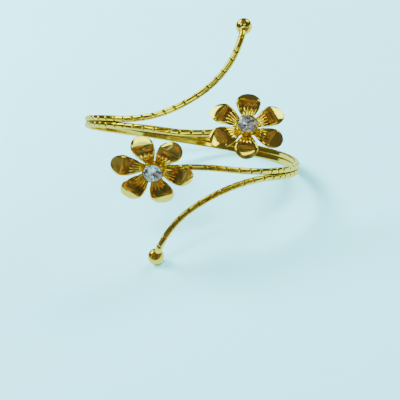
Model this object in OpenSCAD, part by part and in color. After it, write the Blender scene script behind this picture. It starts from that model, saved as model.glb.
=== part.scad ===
/* [Cuff] */
// Radius of the hollow for the arm, from the axis to the flat inner face of the wires
inner_r = 38.5; // [34:0.5:44]
// Width of one half-round wire
wire_w = 2.25; // [1.8:0.05:2.6]
// Thickness of a wire at its crown
wire_t = 1.75; // [1.4:0.05:2]
// Height of a wire's straight side walls
wire_side = 0.6; // [0.4:0.1:0.9]
// Joined stretch of the two wires, from the middle of the back to where they part
band_run = 91; // [80:1:100]
// Slope of the joined wires at the middle of the back, in degrees
band_rise = 5.3; // [3:0.1:8]

/* [Ball ends] */
// Run of the upper ball's wire from the parting to its curl
upper_ball_run = 51.7; // [40:0.1:60]
// Run of the lower ball's wire from the parting to its curl
lower_ball_run = 45.1; // [36:0.1:54]
// Run of the inward curl at the end of a ball's wire
curl_run = 9; // [6:0.5:12]
// Diameter of the balls
ball_d = 5.7; // [5:0.1:7]
// Diameter of the peg that a wire's end keeps inside its ball
peg_d = 1.2; // [0.8:0.1:1.4]
// Length of that peg
peg_l = 1.6; // [1:0.1:2]

/* [Flower arms] */
// Run of the upper flower's wire from the parting to the flower's centre
upper_flower_run = 47.4; // [42:0.2:54]
// Run of the lower flower's wire from the parting to the flower's centre
lower_flower_run = 44.9; // [40:0.1:52]
// Tilt of the upper flower, its face turned up, in degrees
upper_tilt = 37; // [20:1:55]
// Tilt of the lower flower, its face turned down, in degrees
lower_tilt = 30; // [10:1:50]
// Width of the flattened pad behind a flower
pad_w = 4.4; // [3.4:0.1:5]
// Thickness of that pad
pad_t = 1; // [0.8:0.1:1.2]

/* [Flowers] */
// Radius of a flower at the petals' tips
tip_r = 13.9; // [12.5:0.1:15]
// Radius of the round hub in its middle
hub_r = 3.6; // [3.4:0.1:4]
// Width of a petal at its widest
petal_w = 7.7; // [6:0.1:8.8]
// Width of a petal's neck at the hub
neck_w = 3.1; // [2.4:0.1:3.2]
// Thickness of the petals' sheet
sheet_t = 0.35; // [0.3:0.05:0.6]
// Height of a petal's arch over the hub
arch_h = 2; // [1.6:0.1:3]
// Drop of a petal's tip below its arch
tip_drop = 1.1; // [0.4:0.1:1.4]
// Drop of a petal's side edges below its middle
edge_drop = 0.35; // [0.1:0.05:0.6]
// Height of the raised ridges on a petal
ridge_h = 0.2; // [0.1:0.05:0.35]

/* [Stones] */
// Diameter of a stone
stone_d = 6.7; // [6:0.1:6.9]
// Height of a stone's crown
crown_h = 0.85; // [0.6:0.05:1.2]
// Height of a stone's girdle
girdle_h = 0.15; // [0.1:0.05:0.3]
// Depth of a stone's pavilion
pavilion_h = 2; // [1.6:0.05:2.2]
// Wall of the setting's rim round a stone
rim_wall = 0.3; // [0.25:0.05:0.5]
// Diameter of the setting's stem, which stands on the pad through the hub
stem_d = 3.2; // [2.6:0.1:3.6]

/* [Fit] */
// Gap between two pieces that were joined
gap = 0.05; // [0.02:0.01:0.1]

/* [Hidden] */
gold = "goldenrod";
crystal = "lavender";

// Lean of the cuff's axis back from upright and to its side, as it rests, in degrees
rest_lean = 22.02;
rest_side = -16.36;

// Longest straight piece of a course along the joined stretch, an arm and a curl
band_pitch = 4.6;
arm_pitch = 2.2;
curl_pitch = 1.5;

// Courses. Columns: share of the run, steer across the cylinder and curl inward in degrees,
// and hold, which is 1 where a wire keeps to the cylinder and 0 where it runs straight off it
SHARE = 0;
STEER = 1;
CURL = 2;
HOLD = 3;
band_course = [[0.67, 0, 0, 1], [0.33, -3.6, 0, 1]];
upper_ball_course = [
  [0.214, 10.2, 0, 1],
  [0.214, 15.3, 0, 1],
  [0.214, 12.3, 0, 1],
  [0.214, 14.9, 0, 1],
  [0.144, 13.9, 0, 1]
];
lower_ball_course = [[0.245, 12.6, 0, 1], [0.245, 13.2, 0, 1], [0.245, 11.5, 0, 1], [0.265, 20.3, 0, 1]];
upper_curl_course = [[1, -6.1, 44.7, 0.5]];
lower_curl_course = [[1, 6, 41.8, 0.5]];
upper_flower_course = [[0.422, -5.8, 0, 1], [0.274, 9.2, 0, 1], [0.304, 5.7, 0, 0]];
lower_flower_course = [[0.445, -5.8, 0, 1], [0.29, 8.3, 0, 1], [0.265, 0.5, 0, 0]];

// Direction of the first petal of each flower, anticlockwise from its right
upper_petal_turn = 31.5;
lower_petal_turn = -8.3;

// The petals as they were bent by hand, anticlockwise from the first. Columns: turn from even
// spacing in degrees, reach and breadth as shares of tip_r and petal_w, and lift in degrees
TURN = 0;
REACH = 1;
BREADTH = 2;
LIFT = 3;
upper_petals = [
  [-3, 0.975, 0.96, 0],
  [-1, 0.97, 1.04, -1],
  [2, 1, 1, -2],
  [1.7, 1.01, 1.03, -1],
  [-0.4, 0.955, 0.95, 0],
  [1, 0.97, 0.94, -2]
];
lower_petals = [
  [0.5, 1.01, 0.96, -2.5],
  [5, 1.025, 1.04, 1],
  [0, 1.065, 0.99, 1],
  [-2.4, 1.055, 1.02, -0.5],
  [-2.5, 1.02, 1.03, 1],
  [-0.4, 1.02, 1.03, -5]
];

// A place on a course: its point, the heading, the direction away from the arm,
// and the sense in which its section is laid out
PLACE = 0;
HEADING = 1;
OUTWARD = 2;
SENSE = 3;

per_radian = 180 / PI;
up = [0, 0, 1];

function last_of(list) = list[len(list) - 1];
function flat_list(lists) = [for (list = lists) for (item = list) item];
function unit(v) = v / norm(v);
function blend(a, b, share) = a + (b - a) * share;
function ease(share) = let (x = max(0, min(1, share))) x * x * (3 - 2 * x);

// The vector v turned about the vector w, by w's length in degrees
function turned(v, w) =
  let (angle = norm(w))
  angle == 0 ? v :
  let (k = w / angle)
  v * cos(angle) + cross(k, v) * sin(angle) + k * (k * v) * (1 - cos(angle));

function across(at) = cross(at[OUTWARD], at[HEADING]);
function beside(at, offset) = [at[PLACE] + across(at) * offset, at[HEADING], at[OUTWARD], at[SENSE]];

// One step of a course. Where it holds to the cylinder, it bends round the axis
// and its section turns with the slope.
function step_on(at, run, steer, curl, hold) =
  let (
    slope = asin(at[HEADING].z),
    round_bend = hold * pow(cos(slope), 2) * run / inner_r * per_radian + curl,
    round_twist = hold * sin(slope) * cos(slope) * run / inner_r * per_radian,
    spin = across(at) * round_bend + at[OUTWARD] * steer + at[HEADING] * round_twist
  )
  [
    at[PLACE] + turned(at[HEADING], spin / 2) * run,
    unit(turned(at[HEADING], spin)),
    unit(turned(at[OUTWARD], spin)),
    at[SENSE]
  ];

function steps_of(course, run, pitch) = [
  for (row = course)
    let (n = max(1, ceil(row[SHARE] * run / pitch)))
      for (k = [1:n]) [row[SHARE] * run / n, row[STEER] / n, row[CURL] / n, row[HOLD]]
];

function walk(start, steps) = [
  for (
    k = 0, at = start;
    k <= len(steps);
    at = k < len(steps) ? step_on(at, steps[k][0], steps[k][1], steps[k][2], steps[k][3]) : at, k = k + 1
  ) at
];

// The other half of the cuff is this half turned half round about the Y axis
function half_turned(v) = [-v.x, v.y, -v.z];
function other_half(course) = [
  for (at = course) [half_turned(at[PLACE]), half_turned(at[HEADING]), half_turned(at[OUTWARD]), -at[SENSE]]
];

// Courses of the left half, and of the right half before it is turned
back = [[0, inner_r, 0], [-cos(band_rise), 0, sin(band_rise)], [0, 1, 0], 1];
half_band = walk(back, steps_of(band_course, band_run, band_pitch));
parting = last_of(half_band);

function ball_arm(course, run, curl_course) =
  walk(
    beside(parting, wire_w / 2),
    concat(steps_of(course, run, arm_pitch), steps_of(curl_course, curl_run, curl_pitch))
  );
function flower_arm(course, run) = walk(beside(parting, -wire_w / 2), steps_of(course, run, arm_pitch));

upper_ball_arm = ball_arm(upper_ball_course, upper_ball_run, upper_curl_course);
lower_ball_arm = other_half(ball_arm(lower_ball_course, lower_ball_run, lower_curl_course));
upper_flower_arm = flower_arm(upper_flower_course, upper_flower_run);
lower_flower_arm = other_half(flower_arm(lower_flower_course, lower_flower_run));

// Sections of the wires, in millimetres across and outward from the flat inner face
dome_turns = [36, 72, 108, 144];
function dome(w, side, t, middle) = [for (a = dome_turns) [middle + w / 2 * cos(a), side + (t - side) * sin(a)]];
function wire_section(w, side, t) =
  concat([[-w / 2, 0], [w / 2, 0], [w / 2, side]], dome(w, side, t, 0), [[-w / 2, side]]);
joined_section = concat(
  [[-wire_w, 0], [0, 0], [wire_w, 0], [wire_w, wire_side]],
  dome(wire_w, wire_side, wire_t, wire_w / 2),
  [[0, wire_side]],
  dome(wire_w, wire_side, wire_t, -wire_w / 2),
  [[-wire_w, wire_side]]
);
// Which points of the joined section each single wire takes where the two part
plus_half = [1, 2, 3, 4, 5, 6, 7, 8];
minus_half = [0, 1, 8, 9, 10, 11, 12, 13];

function ring(at, section, roll = 0) =
  let (
    side = across(at),
    out = at[OUTWARD] * cos(roll) + side * sin(roll),
    flat = (side * cos(roll) - at[OUTWARD] * sin(roll)) * at[SENSE]
  )
  [for (p = section) at[PLACE] + flat * p.x + out * p.y];

// Height of the peg's middle over the wire's inner face, as a share of the wire's thickness
peg_share = 0.47;
peg_y = wire_t * peg_share;
// The peg's section takes each point of the wire's to the peg's round
peg_section = [
  for (p = wire_section(wire_w, wire_side, wire_t))
    let (a = atan2(p.y - peg_y, p.x)) [peg_d / 2 * cos(a), peg_y + peg_d / 2 * sin(a)]
];

function moved_on(at, run) = [at[PLACE] + at[HEADING] * run, at[HEADING], at[OUTWARD], at[SENSE]];

function ball_arm_rings(arm) =
  let (end = last_of(arm))
  concat(
    [for (k = [1:len(arm) - 1]) ring(arm[k], wire_section(wire_w, wire_side, wire_t))],
    [ring(end, peg_section), ring(moved_on(end, peg_l), peg_section)]
  );

// The pad behind a flower. Columns: distance from the flower's centre as a share of the pad's
// width, and how far the wire has there been spread, or thinned, from 0 to 1
pad_spread = [[-0.45, 0.3], [-0.3, 0.8], [0, 1], [0.4, 0.95], [1.4, 0]];
pad_thinned = [[1.05, 1], [1.8, 0]];
// The flattened end past the flower's centre, as shares of the pad's width
pad_end = [0.25, 0.42];
// Height of the pad's side walls as a share of its thickness
pad_side_share = 0.7;
// A wire has its whole tilt at this share of the last stretch before the flower
tilt_done = 0.35;

function pad_section(distance) =
  let (
    share = distance / pad_w,
    spread = lookup(share, pad_spread),
    thinned = lookup(share, pad_thinned)
  )
  wire_section(
    blend(wire_w, pad_w, spread),
    blend(wire_side, pad_t * pad_side_share, thinned),
    blend(wire_t, pad_t, thinned)
  );

function flower_arm_rings(arm, run, course, tilt) =
  let (
    end = last_of(arm),
    steps = steps_of(course, run, arm_pitch),
    count = len(steps),
    last_run = last_of(course)[SHARE] * run,
    to_go = [for (k = 0, left = run; k <= count; left = left - (k < count ? steps[k][0] : 0), k = k + 1) left]
  )
  concat(
    [
      for (k = [1:count])
        let (roll = tilt * ease((1 - to_go[k] / last_run) / (1 - tilt_done)))
          ring(arm[k], pad_section(to_go[k]), roll)
    ],
    [for (share = pad_end) ring(moved_on(end, share * pad_w), pad_section(-share * pad_w), tilt)]
  );

// The wires as one closed surface: the joined stretch, then the four single ends
band = concat([for (k = [len(half_band) - 1:-1:0]) half_band[k]], [
  for (k = [1:len(half_band) - 1]) other_half([half_band[k]])[0]
]);
band_rings = [for (at = band) ring(at, joined_section)];
arms = [
  ball_arm_rings(upper_ball_arm),
  flower_arm_rings(upper_flower_arm, upper_flower_run, upper_flower_course, upper_tilt),
  flower_arm_rings(lower_flower_arm, lower_flower_run, lower_flower_course, lower_tilt),
  ball_arm_rings(lower_ball_arm)
];

band_points = flat_list(band_rings);
arm_points = [for (arm = arms) flat_list(arm)];
// The first point's number for each of the four single ends
arm_starts = [for (k = 0, n = len(band_points); k < 4; n = n + len(arm_points[k]), k = k + 1) n];
wire_points = concat(band_points, flat_list(arm_points));

joined_n = len(joined_section);
single_n = len(plus_half);
function band_loop(k) = [for (i = [0:joined_n - 1]) k * joined_n + i];
function arm_loops(arm) = [
  for (k = [0:len(arms[arm]) - 1]) [for (i = [0:single_n - 1]) arm_starts[arm] + k * single_n + i]
];
function half_loop(k, half) = [for (i = half) k * joined_n + i];
function back_to_front(list) = [for (k = [len(list) - 1:-1:0]) list[k]];

// Each run of loops goes the way of the joined stretch, from the left end to the right end
last_ring = len(band) - 1;
runs = [
  [for (k = [0:last_ring]) band_loop(k)],
  concat(back_to_front(arm_loops(0)), [half_loop(0, plus_half)]),
  concat(back_to_front(arm_loops(1)), [half_loop(0, minus_half)]),
  concat([half_loop(last_ring, plus_half)], arm_loops(2)),
  concat([half_loop(last_ring, minus_half)], arm_loops(3))
];
function tube_faces(loops) = [
  for (k = [0:len(loops) - 2], i = [0:len(loops[0]) - 1])
    let (
      a = loops[k][i],
      b = loops[k][(i + 1) % len(loops[0])],
      c = loops[k + 1][(i + 1) % len(loops[0])],
      d = loops[k + 1][i]
    )
      for (face = [[a, b, c], [a, c, d]]) face
];
function cap(loop) = [for (k = [1:len(loop) - 2]) [loop[0], loop[k], loop[k + 1]]];
wire_faces = concat(
  flat_list([for (loops = runs) tube_faces(loops)]),
  cap(back_to_front(runs[1][0])),
  cap(back_to_front(runs[2][0])),
  cap(last_of(runs[3])),
  cap(last_of(runs[4]))
);

// A ball stands on its wire's end, on a flat a little wider than the wire
ball_r = ball_d / 2;
flat_r = wire_w * 0.62;
ball_flat = sqrt(pow(ball_r, 2) - pow(flat_r, 2));
function ball_seat(arm) =
  let (end = last_of(arm)) [end[PLACE] + end[OUTWARD] * peg_y, end[HEADING], end[OUTWARD]];
function ball_centre(arm) = let (seat = ball_seat(arm)) seat[0] + seat[1] * (ball_flat + gap);

// A flower's own frame: its origin on the inner face of the wire's end, its face along Z
function face_of(arm, tilt) = let (end = last_of(arm)) end[OUTWARD] * cos(tilt) + across(end) * sin(tilt);
upper_face = face_of(upper_flower_arm, upper_tilt);
lower_face = face_of(lower_flower_arm, lower_tilt);
hub_z = pad_t + gap;
hub_top = hub_z + sheet_t;

// Petals. A row of points runs across the petal, from its neck, row 0, to its round tip, row 1.
petal_rows = [0, 0.1, 0.2, 0.32, 0.46, 0.6, 0.74, 0.88, 1];
petal_columns = [-1, -0.75, -0.5, -0.25, 0, 0.25, 0.5, 0.75, 1];
neck_turn = asin(neck_w / 2 / hub_r);
// How slowly a petal widens at first
widening = 1.15;
// The share of a petal's length at the top of its arch, and how sharply its tip then bends down
arch_share = 0.66;
tip_bend = 1.5;
// The ridges end at this share of the petal's length, and keep within this share of its half width
ridge_share = 0.45;
ridge_spread = 0.8;

function petal_plan(petal, row, column) =
  let (
    half_w = petal_w * petal[BREADTH] / 2,
    widest_r = tip_r * petal[REACH] - half_w,
    neck = hub_r * [cos(neck_turn * column), sin(neck_turn * column)],
    tip = [widest_r + half_w * cos(90 * column), half_w * sin(90 * column)],
    spread = sin(90 * pow(row, widening))
  )
  [blend(neck.x, tip.x, row), blend(neck.y, tip.y, spread)];

function petal_height(petal, share, column) =
  let (past_arch = max(0, (share - arch_share) / (1 - arch_share)))
  arch_h * sin(90 * min(1, share / arch_share))
  - tip_drop * pow(past_arch, tip_bend)
  - edge_drop * pow(column, 2) * ease(share / arch_share)
  + (tip_r - hub_r) * share * tan(petal[LIFT]);

function ridge(share, column) =
  abs(column) > ridge_spread || share >= ridge_share ? 0 :
  ridge_h * max(0, cos(720 * column)) * sin(180 * share / ridge_share);

function petal_points(petal, turn, top) = [
  for (row = petal_rows, column = petal_columns)
    let (
      p = petal_plan(petal, row, column),
      share = max(0, (p.x - hub_r) / (tip_r * petal[REACH] - hub_r)),
      z = petal_height(petal, share, column) + (top ? sheet_t + ridge(share, column) : 0)
    )
      [p.x * cos(turn) - p.y * sin(turn), p.x * sin(turn) + p.y * cos(turn), hub_z + z]
];

cols = len(petal_columns);
petal_n = len(petal_rows) * cols;
petals = len(upper_petals);
function flower_points(table) = concat(
  [[0, 0, hub_top], [0, 0, hub_z]],
  flat_list([
    for (k = [0:petals - 1], top = [true, false])
      petal_points(table[k], 360 / petals * k + table[k][TURN], top)
  ])
);
// The number of a petal's point, on its upper or lower side
function petal_point(k, top, row, column) = 2 + (2 * k + (top ? 0 : 1)) * petal_n + row * cols + column;
// The edge of a petal, from the neck's right end round the tip to the neck's left end
petal_edge = concat(
  [for (row = [0:len(petal_rows) - 1]) [row, 0]],
  [for (column = [1:cols - 1]) [len(petal_rows) - 1, column]],
  [for (row = [len(petal_rows) - 2:-1:0]) [row, cols - 1]]
);

function petal_faces(k) = concat(
  [
    for (row = [0:len(petal_rows) - 2], column = [0:cols - 2])
      let (
        a = petal_point(k, true, row, column),
        b = petal_point(k, true, row + 1, column),
        c = petal_point(k, true, row + 1, column + 1),
        d = petal_point(k, true, row, column + 1)
      )
        for (
          face = [
            [a, c, b],
            [a, d, c],
            [a + petal_n, b + petal_n, c + petal_n],
            [a + petal_n, c + petal_n, d + petal_n]
          ]
        ) face
  ],
  [
    for (i = [0:len(petal_edge) - 2])
      let (
        a = petal_point(k, true, petal_edge[i][0], petal_edge[i][1]),
        b = petal_point(k, true, petal_edge[i + 1][0], petal_edge[i + 1][1])
      )
        for (face = [[a, b, b + petal_n], [a, b + petal_n, a + petal_n]]) face
  ]
);

function hub_faces(k) =
  let (
    end = petal_point(k, true, 0, cols - 1),
    next = petal_point((k + 1) % petals, true, 0, 0)
  )
  concat(
    [
      for (column = [0:cols - 2])
        let (a = petal_point(k, true, 0, column), b = petal_point(k, true, 0, column + 1))
          for (face = [[0, b, a], [1, a + petal_n, b + petal_n]]) face
    ],
    [[0, next, end], [1, end + petal_n, next + petal_n]],
    [[end, next, next + petal_n], [end, next + petal_n, end + petal_n]]
  );

// The setting: a cup with a thin rim, and a stem through the hub
stone_r = stone_d / 2;
rim_r = stone_r + gap + rim_wall;
stem_r = stem_d / 2;
cup_z = hub_top + gap;
// How far the stone's point sinks into the hub's level, and how far the rim stands over its girdle
stone_sunk = 0.05;
rim_over = 0.1;
girdle_z = cup_z + pavilion_h - stone_sunk;
rim_z = girdle_z + girdle_h + rim_over;
// The cup's outer side, from its foot up. Columns: share of the rim's radius and of its height
cup_side = [[0.74, 0], [0.93, 0.3], [1, 0.62], [1, 1]];
// The cup's hollow is a little deeper than the stone
hollow_h = pavilion_h * 1.02 + gap;
cup_profile = concat(
  [[0, hub_z], [stem_r, hub_z], [stem_r, cup_z]],
  [for (row = cup_side) [rim_r * row[0], blend(cup_z, rim_z, row[1])]],
  [[rim_r - rim_wall, rim_z], [rim_r - rim_wall, girdle_z - gap], [0, girdle_z - hollow_h]]
);

// The stone: a round brilliant with a table, its girdle's lower edge at height zero.
// Its table, stars and lower facets end at these shares of its radius.
table_share = 0.57;
star_share = 0.78;
lower_share = 0.24;
facet_turn = 45;
table_r = stone_r * table_share;
star_r = stone_r * star_share;
star_z = crown_h * (stone_r - star_r * cos(facet_turn / 2)) / (stone_r - table_r);
lower_r = stone_r * lower_share;
lower_z = pavilion_h * (1 - lower_r * cos(facet_turn / 2) / stone_r);
function around(r, z, shift) = [
  for (k = [0:7]) let (a = facet_turn * (k + shift)) [r * cos(a), r * sin(a), z]
];
// Rows of eight points: table, stars, upper girdle twice, lower girdle twice, lower facets
stone_points = concat(
  around(table_r, girdle_h + crown_h, 0),
  around(star_r, girdle_h + star_z, 0.5),
  around(stone_r, girdle_h, 0),
  around(stone_r, girdle_h, 0.5),
  around(stone_r, 0, 0),
  around(stone_r, 0, 0.5),
  around(lower_r, -lower_z, 0.5),
  [[0, 0, -pavilion_h]]
);
culet = 56;
function facets(k) =
  let (
    n = (k + 1) % 8,
    table = k, table_n = n, star = 8 + k, star_b = 8 + (k + 7) % 8,
    corner = 16 + k, corner_n = 16 + n, middle = 24 + k,
    low = 32 + k, low_n = 32 + n, low_m = 40 + k, deep = 48 + k, deep_b = 48 + (k + 7) % 8
  )
  [
    [table_n, star, table],
    [star, corner, star_b, table],
    [middle, corner, star],
    [corner_n, middle, star],
    [middle, low_m, low, corner],
    [corner_n, low_n, low_m, middle],
    [low_m, deep, low],
    [low_n, deep, low_m],
    [deep, culet, deep_b, low]
  ];
stone_faces = concat([[for (k = [7:-1:0]) k]], flat_list([for (k = [0:7]) facets(k)]));

// How the cuff rests: on its lower ball and on the lower edge at the back
function at_rest(p) =
  let (
    y = p.y * cos(rest_lean) + p.z * sin(rest_lean),
    z = p.z * cos(rest_lean) - p.y * sin(rest_lean)
  )
  [p.x * cos(rest_side) - z * sin(rest_side), y, p.x * sin(rest_side) + z * cos(rest_side)];
function in_flower(arm, face, turn, p) =
  let (
    x0 = unit(cross(up, face)),
    y0 = cross(face, x0),
    x = x0 * cos(turn) + y0 * sin(turn),
    y = y0 * cos(turn) - x0 * sin(turn)
  )
  last_of(arm)[PLACE] + x * p.x + y * p.y + face * p.z;
resting_points = [
  for (
    p = concat(
      wire_points,
      [for (q = flower_points(upper_petals)) in_flower(upper_flower_arm, upper_face, upper_petal_turn, q)],
      [for (q = flower_points(lower_petals)) in_flower(lower_flower_arm, lower_face, lower_petal_turn, q)]
    )
  ) at_rest(p)
];
ball_centres = [at_rest(ball_centre(upper_ball_arm)), at_rest(ball_centre(lower_ball_arm))];
function lowest(axis) = min(concat([for (p = resting_points) p[axis]], [for (p = ball_centres) p[axis] - ball_r]));
function highest(axis) = max(concat([for (p = resting_points) p[axis]], [for (p = ball_centres) p[axis] + ball_r]));
rest_shift = [-(lowest(0) + highest(0)) / 2, -(lowest(1) + highest(1)) / 2, -lowest(2)];

module resting() {
  translate(rest_shift) rotate([-rest_lean, -rest_side, 0]) children();
}

// Puts children at a point, with their X axis along x and their Z axis along z
module stood(origin, x, z) {
  y = cross(z, x);
  multmatrix([
    [x.x, y.x, z.x, origin.x],
    [x.y, y.y, z.y, origin.y],
    [x.z, y.z, z.z, origin.z]
  ])
    children();
}

module on_flower(arm, face, turn = 0) {
  x0 = unit(cross(up, face));
  stood(last_of(arm)[PLACE], x0 * cos(turn) + cross(face, x0) * sin(turn), face) children();
}

module wire_band() {
  color(gold) resting() polyhedron(wire_points, wire_faces);
}

module ball(arm) {
  seat = ball_seat(arm);
  color(gold)
    resting()
      stood(ball_centre(arm), seat[2], -seat[1])
        difference() {
          sphere(r = ball_r, $fn = 64);
          translate([0, 0, ball_flat]) cylinder(r = ball_r, h = ball_r, $fn = 64);
          translate([0, 0, ball_flat - peg_l]) cylinder(d = peg_d + 2 * gap, h = peg_l + ball_r, $fn = 32);
        }
}

module flower(arm, face, turn, table) {
  color(gold)
    resting()
      on_flower(arm, face, turn)
        difference() {
          polyhedron(
            flower_points(table),
            flat_list([for (k = [0:petals - 1]) concat(petal_faces(k), hub_faces(k))])
          );
          translate([0, 0, hub_z - sheet_t]) cylinder(r = stem_r + gap, h = 3 * sheet_t, $fn = 48);
        }
}

module setting(arm, face) {
  color(gold) resting() on_flower(arm, face) rotate_extrude($fn = 96) polygon(cup_profile);
}

module stone(arm, face, turn) {
  color(crystal)
    resting() on_flower(arm, face, turn) translate([0, 0, girdle_z]) polyhedron(stone_points, stone_faces);
}

module upper_ball() { ball(upper_ball_arm); }
module lower_ball() { ball(lower_ball_arm); }
module upper_flower() { flower(upper_flower_arm, upper_face, upper_petal_turn, upper_petals); }
module lower_flower() { flower(lower_flower_arm, lower_face, lower_petal_turn, lower_petals); }
module upper_setting() { setting(upper_flower_arm, upper_face); }
module lower_setting() { setting(lower_flower_arm, lower_face); }
module upper_stone() { stone(upper_flower_arm, upper_face, upper_petal_turn); }
module lower_stone() { stone(lower_flower_arm, lower_face, lower_petal_turn); }

wire_band();
upper_ball();
lower_ball();
upper_flower();
lower_flower();
upper_setting();
lower_setting();
upper_stone();
lower_stone();
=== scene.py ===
"""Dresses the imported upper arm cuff: engraved wires, balls, petal flowers, settings and crystals.

Lengths are in millimetres while a piece is made, in the cuff's own frame, whose Z axis is the
arm's. The finished meshes are in metres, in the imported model's frame.
"""

import logging
import math
from dataclasses import dataclass, field, fields
from enum import Enum
from typing import Mapping, Sequence

import bpy
import numpy as np
from mathutils import Matrix, Vector

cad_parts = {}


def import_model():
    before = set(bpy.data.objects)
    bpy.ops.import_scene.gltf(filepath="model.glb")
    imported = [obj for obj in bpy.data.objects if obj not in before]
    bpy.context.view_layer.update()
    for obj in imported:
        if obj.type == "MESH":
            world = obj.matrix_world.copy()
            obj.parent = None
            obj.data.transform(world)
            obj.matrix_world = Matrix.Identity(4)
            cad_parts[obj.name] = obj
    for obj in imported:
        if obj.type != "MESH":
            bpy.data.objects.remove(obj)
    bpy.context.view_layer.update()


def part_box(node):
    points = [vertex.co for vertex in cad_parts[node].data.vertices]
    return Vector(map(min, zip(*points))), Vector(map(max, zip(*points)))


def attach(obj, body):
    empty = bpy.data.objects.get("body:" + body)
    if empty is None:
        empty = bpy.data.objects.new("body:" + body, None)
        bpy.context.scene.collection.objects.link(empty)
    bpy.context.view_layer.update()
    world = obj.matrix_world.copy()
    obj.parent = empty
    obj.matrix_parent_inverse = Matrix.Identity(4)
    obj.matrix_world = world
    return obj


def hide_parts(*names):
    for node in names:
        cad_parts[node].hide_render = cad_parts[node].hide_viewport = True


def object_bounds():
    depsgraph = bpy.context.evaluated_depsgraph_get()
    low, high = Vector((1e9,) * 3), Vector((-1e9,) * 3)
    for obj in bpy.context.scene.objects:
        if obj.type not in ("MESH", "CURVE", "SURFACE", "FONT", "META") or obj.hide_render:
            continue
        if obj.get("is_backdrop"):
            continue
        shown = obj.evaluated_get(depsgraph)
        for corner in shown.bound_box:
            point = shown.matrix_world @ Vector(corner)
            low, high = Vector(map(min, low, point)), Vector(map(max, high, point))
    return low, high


LOG = logging.getLogger("cuff")
MM = 0.001
BODY = "root"
IMAGE_PX = 400
SENSOR_MM = 36.0
PER_RADIAN = 180 / math.pi
FAR_MM = 99.0
BEVEL_SEGMENTS = 2
BEVEL_FROM_DEGREES = 70

Colour = tuple[float, float, float]
Place = tuple[float, float, float]
Span = tuple[float, float]
Faces = list[tuple[int, ...]]


class Slot(Enum):
    """Material slot names."""

    WIRE = "wire_gold"
    PETAL = "petal_gold"
    STONE = "crystal"


class Side(Enum):
    """The two halves of the cuff, each with a ball's wire and a flower's wire."""

    UPPER = 1
    LOWER = -1

    @property
    def index(self) -> int:
        """Returns the side's place in a pair of sizes that differ between the sides."""
        return 0 if self is Side.UPPER else 1

    @property
    def label(self) -> str:
        """Returns the side's word in the names of nodes and pieces."""
        return self.name.lower()


# Vectors


def unit(v: np.ndarray) -> np.ndarray:
    """Returns v at length one."""
    return v / np.linalg.norm(v)


def turned(v: np.ndarray, spin: np.ndarray) -> np.ndarray:
    """Turns a vector.

    Args:
        v: The vector.
        spin: The axis, its length the angle in degrees.

    Returns:
        The vector turned about the axis.
    """
    angle = float(np.linalg.norm(spin))
    if angle == 0:
        return v
    k = spin / angle
    c, s = math.cos(angle / PER_RADIAN), math.sin(angle / PER_RADIAN)
    return v * c + np.cross(k, v) * s + k * float(k @ v) * (1 - c)


def ease(share: np.ndarray | float) -> np.ndarray | float:
    """Returns a share from 0 to 1 with soft ends."""
    x = np.clip(share, 0, 1)
    return x * x * (3 - 2 * x)


def rotation(axis: str, degrees: float) -> Matrix:
    """Returns the 4 by 4 matrix of a turn about one axis."""
    return Matrix.Rotation(math.radians(degrees), 4, axis)


# Node trees


class Value:
    """A socket whose sums and products add Math nodes to its tree."""

    def __init__(self, tree: "Tree", socket: bpy.types.NodeSocket) -> None:
        """Wraps an output socket of a tree."""
        self.tree = tree
        self.socket = socket

    def _math(self, operation: str, *values: "Value | float") -> "Value":
        """Adds a Math node.

        Args:
            operation: The node's operation.
            values: Its inputs in order.

        Returns:
            The node's result.
        """
        made = self.tree.node("ShaderNodeMath", {"operation": operation}, dict(enumerate(values)))
        return self.tree.out(made, 0)

    def __add__(self, other: "Value | float") -> "Value":
        """Returns self + other."""
        return self._math("ADD", self, other)

    def __radd__(self, other: float) -> "Value":
        """Returns other + self."""
        return self._math("ADD", other, self)

    def __sub__(self, other: "Value | float") -> "Value":
        """Returns self - other."""
        return self._math("SUBTRACT", self, other)

    def __rsub__(self, other: float) -> "Value":
        """Returns other - self."""
        return self._math("SUBTRACT", other, self)

    def __mul__(self, other: "Value | float") -> "Value":
        """Returns self * other."""
        return self._math("MULTIPLY", self, other)

    def __rmul__(self, other: float) -> "Value":
        """Returns other * self."""
        return self._math("MULTIPLY", other, self)

    def __truediv__(self, other: "Value | float") -> "Value":
        """Returns self / other."""
        return self._math("DIVIDE", self, other)

    def __pow__(self, power: "Value | float") -> "Value":
        """Returns self to a power."""
        return self._math("POWER", self, power)

    def __lt__(self, other: "Value | float") -> "Value":
        """Returns 1 where self is under other, and 0 elsewhere."""
        return self._math("LESS_THAN", self, other)

    def sin(self) -> "Value":
        """Returns the sine, of radians."""
        return self._math("SINE", self)

    def cos(self) -> "Value":
        """Returns the cosine, of radians."""
        return self._math("COSINE", self)

    def tan(self) -> "Value":
        """Returns the tangent, of radians."""
        return self._math("TANGENT", self)

    def size(self) -> "Value":
        """Returns the value without its sign."""
        return self._math("ABSOLUTE", self)

    def least(self, other: "Value | float") -> "Value":
        """Returns the smaller of the two."""
        return self._math("MINIMUM", self, other)

    def most(self, other: "Value | float") -> "Value":
        """Returns the larger of the two."""
        return self._math("MAXIMUM", self, other)

    def between(self, low: float, high: float) -> "Value":
        """Makes a soft step.

        Args:
            low: Where the step begins.
            high: Where it ends.

        Returns:
            0 under low, 1 over high and a soft rise between them.
        """
        settings = {"interpolation_type": "SMOOTHSTEP"}
        made = self.tree.node("ShaderNodeMapRange", settings, {0: self, 1: low, 2: high, 3: 0.0, 4: 1.0})
        return self.tree.out(made, 0)


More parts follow.
